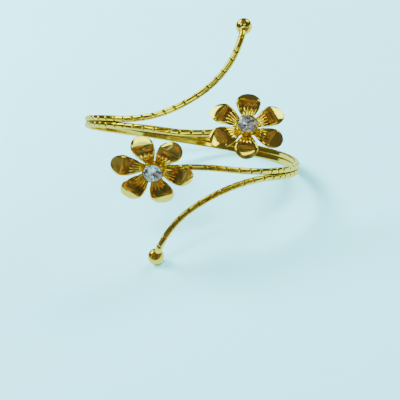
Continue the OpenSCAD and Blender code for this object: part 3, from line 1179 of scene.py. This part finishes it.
    def _engraver(self, upper: bool, length: float) -> GeometryTree:
        """Makes the tree that cuts slanting notches across a wire's dome.

        Args:
            upper: Which wire, because the two slant opposite ways.
            length: The wire's length.

        Returns:
            The tree.
        """
        sizes = {
            "Pitch": self.notch_pitch,
            "Count": int(length / self.notch_pitch) + 1,
            "Scatter": self.notch_scatter,
            "Slant": self.notch_slant if upper else -self.notch_slant,
            "Reach": self.notch_reach,
            "Width": self.notch_width,
            "Depth": self.notch_depth,
            "Seed": self.notch_seeds[0 if upper else 1],
            "Material": bpy.data.materials.new("blank"),
        }
        tree = GeometryTree("notches", sizes)
        step = tree.vector(tree.given("Pitch"), 0.0, 0.0)
        line = tree.node("GeometryNodeMeshLine", {"mode": "OFFSET"}, {0: tree.given("Count"), 3: step})
        scatter, seed = tree.given("Scatter"), tree.given("Seed")
        moved = tree.vector(tree.random(scatter * -1, scatter, seed), 0.0, 0.0)
        marks = tree.node("GeometryNodeSetPosition", {}, {"Geometry": tree.out(line), "Offset": moved})
        slant, reach = tree.given("Slant"), tree.given("Reach")
        start = tree.vector(slant * -0.5, reach * -1, 0.0)
        stroke = tree.vector(slant, reach * 2, 0.0)
        cut = tree.node("GeometryNodeMeshLine", {"mode": "OFFSET"}, {0: 2, 2: start, 3: stroke})
        turn = tree.vector(0.0, 0.0, tree.random(-self.notch_turn, self.notch_turn, seed + 1))
        spin = tree.out(tree.node("FunctionNodeEulerToRotation", {}, {0: turn}))
        inputs = {"Points": tree.out(marks), "Instance": tree.out(cut), "Rotation": spin}
        cuts = tree.out(tree.node("GeometryNodeInstanceOnPoints", {}, inputs))
        plan = tree.out(tree.node("GeometryNodeRealizeInstances", {}, {"Geometry": cuts}))
        where = tree.vector(tree.named("run"), tree.named("over"), 0.0)
        near = tree.node("GeometryNodeProximity", {"target_element": "EDGES"}, {0: plan, 2: where})
        share = (tree.out(near, "Distance") / (tree.given("Width") * 0.5)).least(1.0)
        notch = (1 - share**self.notch_round) * tree.named("dome")
        # The notch also darkens the wire gold in the cut: painted shade.
        wire = tree.store(tree.given("Geometry"), "notch", notch)
        normal = tree.out(tree.node("GeometryNodeInputNormal"), "Normal")
        depth = notch * tree.given("Depth") * -1
        offset = tree.node("ShaderNodeVectorMath", {"operation": "SCALE"}, {0: normal, 3: depth})
        inputs = {"Geometry": wire, "Offset": tree.out(offset)}
        tree.finish(tree.out(tree.node("GeometryNodeSetPosition", {}, inputs)))
        return tree

    def dress(self, finish: bpy.types.Material) -> list[bpy.types.Object]:
        """Makes both wires in place of the band's node.

        Args:
            finish: The wires' material.

        Returns:
            The pieces.
        """
        made = []
        for upper, name in ((True, "ball_to_flower_wire"), (False, "flower_to_ball_wire")):
            mesh = self._wire(upper)
            mesh.transform(self.cuff.to_world)
            made.append(piece_of(mesh, name, "wire_band", Slot.WIRE, finish, self.sharp))
        return made


# The balls


@dataclass
class Ball:
    """A round ball on a wire's end, flat where it is soldered on."""

    cuff: Cuff
    side: Side
    around: int = 96
    rows: int = 56
    fillet: float = 0.12
    sharp: float = 50.0

    def dress(self, finish: bpy.types.Material) -> bpy.types.Object:
        """Makes the ball in place of its node.

        Args:
            finish: Its material.

        Returns:
            The piece.
        """
        s = self.cuff.sizes
        r, flat_r = s.ball_d / 2, s.wire_w * s.flat_share
        flat = math.sqrt(r**2 - flat_r**2)
        top = math.acos(flat / r)
        turns = np.linspace(math.pi, top, self.rows)
        profile = [(0.0, -r)] + [(r * math.sin(a), r * math.cos(a)) for a in turns[1:-1]]
        profile += [(flat_r + self.fillet, flat - self.fillet), (flat_r - self.fillet, flat), (0.0, flat)]
        points, faces = revolved(profile, self.around)
        mesh = mesh_of("ball", points, faces)
        centre, to_wire = self.cuff.ball_place(self.side)
        mesh.transform(self.cuff.along(to_wire, centre))
        name = f"{self.side.label}_ball"
        return piece_of(mesh, f"{name}_polished", name, Slot.WIRE, finish, self.sharp)


# The flowers


@dataclass(frozen=True)
class Petal:
    """How one petal departs from an even one: degrees of turn and lift, shares of the sizes."""

    turn: float
    reach: float
    breadth: float
    lift: float


@dataclass
class Flower:
    """Six stamped petals round a hub, a ridged fan on each, with a crystal in its cup.

    A share on a petal runs from 0 at the hub to 1 at the tip; a span of two shares is a soft step.
    """

    cuff: Cuff
    side: Side
    turn: float
    petals: tuple[Petal, ...]
    tip_r: float = 13.9
    hub_r: float = 3.6
    hub_over: float = 0.04
    hub_bevel: Span = (0.03, 0.06)
    hub_steps: int = 96
    petal_w: float = 7.7
    neck_w: float = 3.1
    sheet_t: float = 0.35
    sheet_bevel: float = 0.07
    weld: float = 0.0005
    arch_h: float = 2.0
    arch_share: float = 0.66
    tip_drop: float = 1.1
    tip_bend: float = 1.12
    edge_drop: float = 0.35
    edge_roll: float = 0.24
    roll_from: float = 0.78
    roll_starts: Span = (0.05, 0.3)
    widening: float = 1.15
    ridge_h: float = 0.17
    ridge_share: float = 0.45
    ridge_cycles: float = 3.0
    ridge_keenness: float = 3.2
    ridge_ends: float = 0.6
    fan_half: float = 0.84
    fan_rounding: float = 0.35
    groove_fades: float = 0.2
    groove_shade: float = 0.5
    patch_starts: Span = (0.08, 0.3)
    patch_ends: Span = (0.36, 0.66)
    grid_rows: int = 72
    grid_columns: int = 57
    petal_sharp: float = 38.0
    stone_d: float = 6.7
    crown_h: float = 0.85
    girdle_h: float = 0.15
    pavilion_h: float = 2.0
    stone_sunk: float = 0.05
    stone_folds: int = 8
    table_share: float = 0.57
    star_share: float = 0.78
    lower_share: float = 0.24
    facet_seed: int = 5
    rim_over: float = 0.1
    rim_wall: float = 0.3
    rim_outer: float = 0.12
    rim_inner: Span = (0.05, 0.04)
    bowl_share: float = 1.02
    stem_d: float = 3.2
    cup_side: tuple[Span, ...] = ((0.74, 0), (0.93, 0.3), (1, 0.62), (1, 0.96), (0.985, 1))
    cup_steps: int = 128
    cup_sharp: float = 40.0

    def __post_init__(self) -> None:
        """Works out the heights over the wire's inner face."""
        s = self.cuff.sizes
        self.hub_z = s.pad_t + s.gap
        self.cup_z = self.hub_z + self.sheet_t + s.gap
        self.girdle_z = self.cup_z + self.pavilion_h - self.stone_sunk
        self.rim_z = self.girdle_z + self.girdle_h + self.rim_over

    def _petal_tree(self) -> GeometryTree:
        """Makes the tree that stands a shaped petal on each point of the petals' table.

        Returns:
            The tree.
        """
        sizes = {
            "Hub Radius": self.hub_r,
            "Tip Radius": self.tip_r,
            "Petal Width": self.petal_w,
            "Sheet": self.sheet_t,
            "Arch": self.arch_h,
            "Tip Drop": self.tip_drop,
            "Edge Drop": self.edge_drop,
            "Edge Roll": self.edge_roll,
            "Ridge": self.ridge_h,
            "Rows": self.grid_rows,
            "Columns": self.grid_columns,
            "Material": bpy.data.materials.new("blank"),
        }
        tree = GeometryTree("petals", sizes)
        given = tree.given
        inputs = {0: 1.0, 1: 2.0, 2: given("Rows"), 3: given("Columns")}
        grid = tree.out(tree.node("GeometryNodeMeshGrid", {}, inputs))
        place = tree.out(tree.node("GeometryNodeInputPosition"))
        parts = tree.node("ShaderNodeSeparateXYZ", {}, {0: place})
        grid = tree.store(grid, "row", tree.out(parts, 0) + 0.5)
        grid = tree.store(grid, "column", tree.out(parts, 1))
        inputs = {"Points": given("Geometry"), "Instance": grid}
        blanks = tree.out(tree.node("GeometryNodeInstanceOnPoints", {}, inputs))
        blanks = tree.out(tree.node("GeometryNodeRealizeInstances", {}, {"Geometry": blanks}))

        row, column = tree.named("row"), tree.named("column")
        half = given("Petal Width") * tree.named("breadth") * 0.5
        reach = given("Tip Radius") * tree.named("reach")
        neck_turn = column * math.asin(self.neck_w / 2 / self.hub_r)
        neck_x, neck_y = given("Hub Radius") * neck_turn.cos(), given("Hub Radius") * neck_turn.sin()
        quarter = column * (math.pi / 2)
        tip_x, tip_y = reach - half + half * quarter.cos(), half * quarter.sin()
        spread = ((row**self.widening) * (math.pi / 2)).sin()
        x = neck_x + (tip_x - neck_x) * row
        y = neck_y + (tip_y - neck_y) * spread
        share = ((x - given("Hub Radius")) / (reach - given("Hub Radius"))).most(0.0)
        rising = (share / self.arch_share).least(1.0)
        past = ((share - self.arch_share) / (1 - self.arch_share)).most(0.0)
        droop = rising * rising * (3 - rising * 2)
        lift = (given("Tip Radius") - given("Hub Radius")) * share * tree.named("lift").tan()
        z = given("Arch") * (rising * (math.pi / 2)).sin() - given("Tip Drop") * past**self.tip_bend
        z = z - given("Edge Drop") * column * column * droop + lift + self.hub_z
        rim = (column.size().most(row) - self.roll_from).most(0.0) / (1 - self.roll_from)
        z = z - given("Edge Roll") * rim * rim * share.between(*self.roll_starts)
        turn = tree.named("turn")
        spun = tree.vector(x * turn.cos() - y * turn.sin(), x * turn.sin() + y * turn.cos(), z)
        blanks = tree.store(blanks, "share", share)
        under = tree.out(tree.node("GeometryNodeSetPosition", {}, {"Geometry": blanks, "Position": spun}))

        up, sheet = (0.0, 0.0, 1.0), given("Sheet")
        inputs = {"Mesh": under, "Offset": up, "Offset Scale": sheet, "Individual": False}
        thick = tree.node("GeometryNodeExtrudeMesh", {"mode": "FACES"}, inputs)
        rise = tree.vector(0.0, 0.0, self._fan(tree) * given("Ridge"))
        inputs = {"Geometry": tree.out(thick, "Mesh"), "Selection": tree.out(thick, "Top"), "Offset": rise}
        top = tree.out(tree.node("GeometryNodeSetPosition", {}, inputs))
        flipped = tree.out(tree.node("GeometryNodeFlipFaces", {}, {"Mesh": under}))
        both = tree.out(tree.node("GeometryNodeJoinGeometry", {}, {0: [top, flipped]}))
        inputs = {"Geometry": both, "Distance": self.weld}
        shell = tree.out(tree.node("GeometryNodeMergeByDistance", {}, inputs))
        shell = tree.store(shell, "patch", self._patch(tree))
        # The groove darkens the petal gold between the ridges: painted shade.
        tree.finish(tree.store(shell, "groove", self._groove(tree)))
        return tree

    def _patch(self, tree: GeometryTree) -> Value:
        """Returns where a petal's foot takes the painted warm reflection, from 0 to 1."""
        share = tree.named("share")
        return share.between(*self.patch_starts) * (1 - share.between(*self.patch_ends))

    def _fan(self, tree: GeometryTree) -> Value:
        """Shapes the fan of ridges.

        Args:
            tree: The petals' tree.

        Returns:
            The ridges' height, from 0 to 1.
        """
        share, column = tree.named("share"), tree.named("column")
        wave = (column * (2 * math.pi * self.ridge_cycles)).cos().most(0.0) ** self.ridge_keenness
        end = self.ridge_share * (1 - column * column * self.fan_rounding)
        along = ((share / end).least(1.0) * math.pi).sin().most(0.0) ** self.ridge_ends
        return wave * along * (column.size() < self.fan_half)

    def _groove(self, tree: GeometryTree) -> Value:
        """Shapes the painted shade between the ridges.

        Args:
            tree: The petals' tree.

        Returns:
            How deep between two ridges a point lies, from 0 to 1.
        """
        share, column = tree.named("share"), tree.named("column")
        valley = (column * (2 * math.pi * self.ridge_cycles)).cos() * -1
        end = 1 - share.between(self.groove_fades, self.ridge_share)
        return valley.most(0.0) * end * (column.size() < self.fan_half) * self.groove_shade

    def _petal_mesh(self) -> bpy.types.Mesh:
        """Makes the petals.

        Returns:
            Their mesh, in millimetres in the flower's frame.
        """
        count = len(self.petals)
        attributes = {
            "turn": np.radians([k * 360 / count + petal.turn for k, petal in enumerate(self.petals)]),
            "reach": [petal.reach for petal in self.petals],
            "breadth": [petal.breadth for petal in self.petals],
            "lift": np.radians([petal.lift for petal in self.petals]),
        }
        points = mesh_of("petal table", np.zeros((count, 3)), [], attributes)
        return self._petal_tree().applied(object_of(points, "petal table"), self.sheet_bevel)

    def _hub_mesh(self) -> bpy.types.Mesh:
        """Makes the hub: a washer round the setting's stem.

        Returns:
            Its mesh, in millimetres in the flower's frame.
        """
        inner, outer = self.stem_d / 2 + self.cuff.sizes.gap, self.hub_r + self.hub_over
        low, high = self.hub_z, self.hub_z + self.sheet_t
        out, up = self.hub_bevel
        ring = [(inner, low), (outer, low), (outer + out, low + up), (outer + out, high - up)]
        ring += [(outer, high), (inner, high), (inner, low)]
        points, faces = revolved(ring, self.hub_steps)
        return mesh_of("hub", points, faces)

    def _joined(self, meshes: Sequence[bpy.types.Mesh]) -> bpy.types.Mesh:
        """Joins meshes into one, keeping their attributes.

        Args:
            meshes: The meshes.

        Returns:
            The first of them, with the others in it.
        """
        objects = [object_of(mesh, mesh.name) for mesh in meshes]
        with bpy.context.temp_override(
            active_object=objects[0], selected_editable_objects=objects, object=objects[0]
        ):
            bpy.ops.object.join()
        mesh = objects[0].data
        bpy.data.objects.remove(objects[0])
        return mesh

    def _cup_mesh(self) -> bpy.types.Mesh:
        """Makes the setting: a cup with a thin rounded rim, on its stem.

        Returns:
            Its mesh, in millimetres in the flower's frame.
        """
        s = self.cuff.sizes
        rim_r = self.stone_d / 2 + s.gap + self.rim_wall
        stem_r, inner = self.stem_d / 2, rim_r - self.rim_wall
        rise = self.rim_z - self.cup_z
        out, down = self.rim_inner
        bowl_z = self.girdle_z - self.pavilion_h * self.bowl_share - s.gap
        profile = [(0.0, self.hub_z), (stem_r, self.hub_z), (stem_r, self.cup_z)]
        profile += [(rim_r * share, self.cup_z + rise * height) for share, height in self.cup_side]
        profile += [(rim_r - self.rim_outer, self.rim_z), (inner + out, self.rim_z)]
        profile += [(inner, self.rim_z - down), (inner, self.girdle_z - s.gap), (0.0, bowl_z)]
        points, faces = revolved(profile, self.cup_steps)
        return mesh_of("cup", points, faces)

    def _stone_rings(self) -> list[tuple[float, float, float]]:
        """Works out the rings of the crystal's corners, from the table to the pavilion.

        Returns:
            Radius, height over the girdle's foot and turn in shares of a facet, for each ring.
        """
        r, half = self.stone_d / 2, math.cos(math.pi / self.stone_folds)
        table_r, star_r, lower_r = self.table_share * r, self.star_share * r, self.lower_share * r
        star_z = self.crown_h * (r - star_r * half) / (r - table_r)
        lower_z = self.pavilion_h * (1 - lower_r * half / r)
        return [
            (table_r, self.girdle_h + self.crown_h, 0.0),
            (star_r, self.girdle_h + star_z, 0.5),
            (r, self.girdle_h, 0.0),
            (r, self.girdle_h, 0.5),
            (r, 0.0, 0.0),
            (r, 0.0, 0.5),
            (lower_r, -lower_z, 0.5),
        ]

    def _stone_mesh(self) -> bpy.types.Mesh:
        """Makes the crystal: a round brilliant, with its table, and foil on its back.

        Returns:
            Its mesh, in millimetres in the flower's frame.
        """
        folds, rings = self.stone_folds, self._stone_rings()
        points = []
        for radius, z, shift in rings:
            for k in range(folds):
                a = 2 * math.pi * (k + shift) / folds
                points.append((radius * math.cos(a), radius * math.sin(a), self.girdle_z + z))
        tip = len(points)
        points.append((0.0, 0.0, self.girdle_z - self.pavilion_h))
        table, star, top, top_mid, foot, foot_mid, lower = (
            range(folds * row, folds * (row + 1)) for row in range(len(rings))
        )
        faces: Faces = [tuple(table)]
        for k in range(folds):
            n, b = (k + 1) % folds, (k - 1) % folds
            faces += [
                (table[k], star[k], table[n]),
                (table[k], star[b], top[k], star[k]),
                (star[k], top[k], top_mid[k]),
                (star[k], top_mid[k], top[n]),
                (top[k], foot[k], foot_mid[k], top_mid[k]),
                (top_mid[k], foot_mid[k], foot[n], top[n]),
                (foot[k], lower[k], foot_mid[k]),
                (foot_mid[k], lower[k], foot[n]),
                (foot[k], lower[b], tip, lower[k]),
            ]
        mesh = mesh_of("stone", np.array(points), faces)
        middle = np.array([p.center.z for p in mesh.polygons])
        tints = np.random.default_rng(self.facet_seed).random(len(middle))
        for name, numbers in (("foil", middle < self.girdle_z), ("facet", tints)):
            made = mesh.attributes.new(name, "FLOAT", "FACE")
            made.data.foreach_set("value", numbers.astype(np.float32))
        return mesh

    def dress(self, finishes: Finishes) -> list[bpy.types.Object]:
        """Makes the flower, its cup and its crystal, each in place of its node.

        Args:
            finishes: The materials.

        Returns:
            The pieces.
        """
        own = self.cuff.flower_matrix(self.side, self.turn)
        straight = self.cuff.flower_matrix(self.side, 0.0)
        petals = self._joined([self._petal_mesh(), self._hub_mesh()])
        cup, stone = self._cup_mesh(), self._stone_mesh()
        petals.transform(own)
        cup.transform(straight)
        stone.transform(own)
        rows = (
            (petals, "flower", "petals", Slot.PETAL, finishes.petal, self.petal_sharp),
            (cup, "setting", "cup", Slot.PETAL, finishes.cup, self.cup_sharp),
            (stone, "stone", "crystal", Slot.STONE, finishes.stone, 0),
        )
        return [
            piece_of(mesh, f"{self.side.label}_{word}", f"{self.side.label}_{node}", slot, finish, sharp)
            for mesh, node, word, slot, finish, sharp in rows
        ]


# Floor, light and camera


def facing(aim: Vector, direction: Place, distance: float) -> Matrix:
    """Returns a place away from a point, turned so that its back is to the far side."""
    away = Vector(direction).normalized()
    return Matrix.Translation(aim + away * distance) @ away.to_track_quat("Z", "Y").to_matrix().to_4x4()


def sheet_of(name: str, size: Span, place: Matrix) -> tuple[bpy.types.Object, ShaderTree]:
    """Lays a flat sheet on the stage.

    Args:
        name: Its name.
        size: Its width and height, in metres.
        place: Where it lies.

    Returns:
        The sheet and the tree of its paint, which the caller ends.
    """
    w, h = size[0] / 2, size[1] / 2
    mesh = mesh_of(name, np.array([(-w, -h, 0), (w, -h, 0), (w, h, 0), (-w, h, 0)]), [(0, 1, 2, 3)])
    mesh.transform(place)
    paint = bpy.data.materials.new(name)
    mesh.materials.append(paint)
    made = object_of(mesh, name)
    made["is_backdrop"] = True
    return made, ShaderTree(paint)


def panel_of(name: str, size: Span, place: Matrix) -> ShaderTree:
    """Stands a panel on the stage that only polished things reflect.

    Args:
        name: Its name.
        size: Its width and height, in metres.
        place: Where it stands.

    Returns:
        The tree of its paint, which the caller ends.
    """
    made, tree = sheet_of(name, size, place)
    made.visible_camera = False
    made.visible_shadow = False
    made.visible_diffuse = False
    made.visible_transmission = False
    return tree


@dataclass(frozen=True)
class SoftBox:
    """A large soft light, in metres and watts, at a distance from the cuff."""

    name: str
    direction: Place
    distance: float
    size: float
    power: float
    colour: Colour
    aspect: float = 0.7

    def light(self, aim: Vector) -> None:
        """Hangs the light so that it faces a point; the metal reflects its glow panel instead.

        Args:
            aim: The point.
        """
        data = bpy.data.lights.new(self.name, "AREA")
        data.shape = "RECTANGLE"
        data.size, data.size_y = self.size, self.size * self.aspect
        data.energy, data.color = self.power, self.colour
        made = bpy.data.objects.new(self.name, data)
        made.matrix_world = facing(aim, self.direction, self.distance)
        made.visible_glossy = False
        bpy.context.scene.collection.objects.link(made)


@dataclass(frozen=True)
class Glow:
    """A bright panel that the polished gold reflects in a soft box's place, in metres."""

    name: str
    direction: Place
    distance: float
    size: Span
    tint: Colour

    def hang(self, aim: Vector) -> None:
        """Hangs the panel so that it faces a point."""
        panel_of(self.name, self.size, facing(aim, self.direction, self.distance)).glow(self.tint)


@dataclass(frozen=True)
class Card:
    """A glowing, mottled panel that only the polished gold reflects, its size and centre in metres: its
    dark tones, orange spots and pale streaks are painted reflections and glints.
    """

    name: str
    centre: Place
    size: Span
    lean: float
    mottle_mm: float
    spot_mm: float
    spot_from: float
    mottle_edge: Span = (0.4, 0.6)
    spot_soft: float = 0.05
    streak_share: float = 1.6
    streak_edge: Span = (0.006, 0.016)
    dark: Colour = (0.05, 0.05, 0.06)
    middle: Colour = (0.18, 0.17, 0.16)
    spot: Colour = (0.5, 0.19, 0.045)
    streak: Colour = (0.75, 0.8, 0.55)

    def stand(self) -> None:
        """Stands the card up on the stage."""
        place = Matrix.Translation(Vector(self.centre)) @ rotation("X", self.lean)
        tree = panel_of(self.name, self.size, place)
        mottle = tree.noise(self.mottle_mm, detail=2.0, warp=1.0).between(*self.mottle_edge)
        spots = tree.noise(self.spot_mm, detail=1.0, warp=0.8)
        spots = spots.between(self.spot_from, self.spot_from + self.spot_soft)
        contour = tree.noise(self.mottle_mm * self.streak_share, detail=0.0, warp=0.5) - 0.5
        streaks = 1 - contour.size().between(*self.streak_edge)
        spotted = tree.mix(spots, tree.mix(mottle, self.dark, self.middle), self.spot)
        # The card glows in these tones instead of being lit: a painted reflection of a dark room, with
        # orange spots and pale glint streaks.
        tree.glow(tree.mix(streaks, spotted, self.streak))


@dataclass
class Studio:
    """The pale floor, the soft lights and the camera at the photograph's angle.

    The camera's roll, pitch and yaw are in degrees, and its offset and distance in millimetres
    of the cuff's own frame. The floor and the panels are in metres.
    """

    cuff: Cuff
    px_per_mm: float = 2.689
    roll: float = 3.742
    pitch: float = 5.512
    yaw: float = 2.775
    offset: Span = (-2.808, 20.889)
    distance: float = 500.0
    clip: Span = (0.01, 20.0)
    floor_size: float = 4.0
    floor_colour: Colour = (0.25, 0.86, 1.0)
    floor_paler: float = 1.04
    floor_patch_mm: float = 90.0
    floor_sheen: Colour = (1.1, 1.75, 1.0)
    sheen_height_mm: float = 0.3
    room: Colour = (0.1, 0.09, 0.08)
    boxes: tuple[SoftBox, ...] = (
        SoftBox("key", (-0.62, 0.42, 0.72), 0.75, 0.42, 16.5, (0.98, 0.98, 1.0)),
        SoftBox("far fill", (0.75, 0.55, 0.8), 1.1, 0.6, 21.0, (0.92, 0.97, 1.0)),
        SoftBox("near fill", (-0.2, -0.9, 1.3), 1.5, 0.6, 28.0, (0.92, 0.97, 1.0)),
    )
    glows: tuple[Glow, ...] = (
        Glow("key glow", (-0.5, 0.42, 0.76), 0.75, (0.6, 0.38), (4.2, 5.6, 0.8)),
        Glow("left glow", (-0.44, -0.36, 0.82), 0.75, (0.16, 0.36), (3.6, 4.7, 0.8)),
        Glow("far glow", (0.68, 0.45, 0.6), 0.75, (0.36, 0.3), (3.6, 4.9, 0.8)),
        Glow("front glow", (0.26, -0.7, 0.69), 0.5, (0.22, 0.07), (2.6, 3.3, 0.9)),
        Glow("low glow", (-0.12, -1.0, 0.16), 0.36, (0.3, 0.12), (3.2, 4.2, 0.7)),
    )
    cards: tuple[Card, ...] = (
        Card("front card", (-0.01, -0.048, 0.0215), (0.26, 0.043), 90.0, 15.0, 9.0, 0.6),
        Card("floor card", (0.2, -0.22, 0.001), (0.44, 0.34), 0.0, 60.0, 40.0, 0.6),
        Card("top card", (0.03, -0.04, 0.42), (0.34, 0.26), 180.0, 60.0, 24.0, 0.57),
    )

    def camera(self) -> None:
        """Stands the camera where the photograph was taken from."""
        cy, sy = math.cos(math.radians(self.yaw)), math.sin(math.radians(self.yaw))
        cp, sp = math.cos(math.radians(self.pitch)), math.sin(math.radians(self.pitch))
        cr, sr = math.cos(math.radians(self.roll)), math.sin(math.radians(self.roll))
        base = np.array([[1, 0, 0], [0, 0, 1], [0, -1, 0]])
        about_y = np.array([[cy, 0, sy], [0, 1, 0], [-sy, 0, cy]])
        about_x = np.array([[1, 0, 0], [0, cp, -sp], [0, sp, cp]])
        about_z = np.array([[cr, sr, 0], [-sr, cr, 0], [0, 0, 1]])
        view = about_z @ about_x @ about_y @ base
        eye = view.T @ np.array([-self.offset[0], -self.offset[1], self.distance])
        pose = Matrix([*zip(*view, eye), (0, 0, 0, 1)])
        world = self.cuff.to_world @ pose
        data = bpy.data.cameras.new("camera")
        data.sensor_width = SENSOR_MM
        data.lens = self.px_per_mm * self.distance / IMAGE_PX * SENSOR_MM
        data.clip_start, data.clip_end = self.clip
        made = bpy.data.objects.new("camera", data)
        turn = world.to_3x3().normalized().to_quaternion()
        made.matrix_world = Matrix.LocRotScale(world.translation, turn, None)
        bpy.context.scene.collection.objects.link(made)
        bpy.context.scene.camera = made

    def floor(self) -> None:
        """Lays the floor, and over it the sheen that the polished gold reflects."""
        side = (self.floor_size, self.floor_size)
        _, tree = sheet_of("floor", side, Matrix.Identity(4))
        paler = tuple(min(1.0, c * self.floor_paler) for c in self.floor_colour)
        tone = tree.mix(tree.noise(self.floor_patch_mm, detail=1.0), self.floor_colour, paler)
        tree.surface({"Base Color": tone, "Roughness": 0.9, "Specular IOR Level": 0.0})
        lifted = Matrix.Translation((0, 0, self.sheen_height_mm * MM))
        panel_of("floor sheen", side, lifted).glow(self.floor_sheen)

    def light(self) -> None:
        """Hangs the lights and the panels and tones the room."""
        low, high = (Vector(corner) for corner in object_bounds())
        middle = (low + high) / 2
        for box in self.boxes:
            box.light(middle)
        for glow in self.glows:
            glow.hang(middle)
        for card in self.cards:
            card.stand()
        world = bpy.data.worlds.new("room")
        world.use_nodes = True
        tree = Tree(world.node_tree)
        shade = {"Color": opaque(self.room), "Strength": 1.0}
        room = tree.out(tree.node("ShaderNodeBackground", {}, shade))
        tree.node("ShaderNodeOutputWorld", {}, {"Surface": room})
        bpy.context.scene.world = world


UPPER_PETALS = (
    Petal(-3, 0.975, 0.96, 0),
    Petal(-1, 0.97, 1.04, -1),
    Petal(2, 1, 1, -2),
    Petal(1.7, 1.01, 1.03, -1),
    Petal(-0.4, 0.955, 0.95, 0),
    Petal(1, 0.97, 0.94, -2),
)
LOWER_PETALS = (
    Petal(0.5, 1.01, 0.96, -2.5),
    Petal(5, 1.025, 1.04, 1),
    Petal(0, 1.065, 0.99, 1),
    Petal(-2.4, 1.055, 1.02, -0.5),
    Petal(-2.5, 1.02, 1.03, 1),
    Petal(-0.4, 1.02, 1.03, -5),
)
UPPER_TURN, LOWER_TURN = 31.5, -8.3


def main() -> None:
    """Builds the cuff's looks and its stage."""
    logging.basicConfig(level=logging.INFO, format="%(name)s: %(message)s")
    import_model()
    cuff = Cuff()
    finishes = Finishes.made()
    WireBand(cuff).dress(finishes.wire)
    for side in Side:
        Ball(cuff, side).dress(finishes.wire)
    Flower(cuff, Side.UPPER, UPPER_TURN, UPPER_PETALS).dress(finishes)
    Flower(cuff, Side.LOWER, LOWER_TURN, LOWER_PETALS).dress(finishes)
    studio = Studio(cuff)
    studio.light()
    studio.floor()
    studio.camera()


if __name__ == "__main__":
    main()
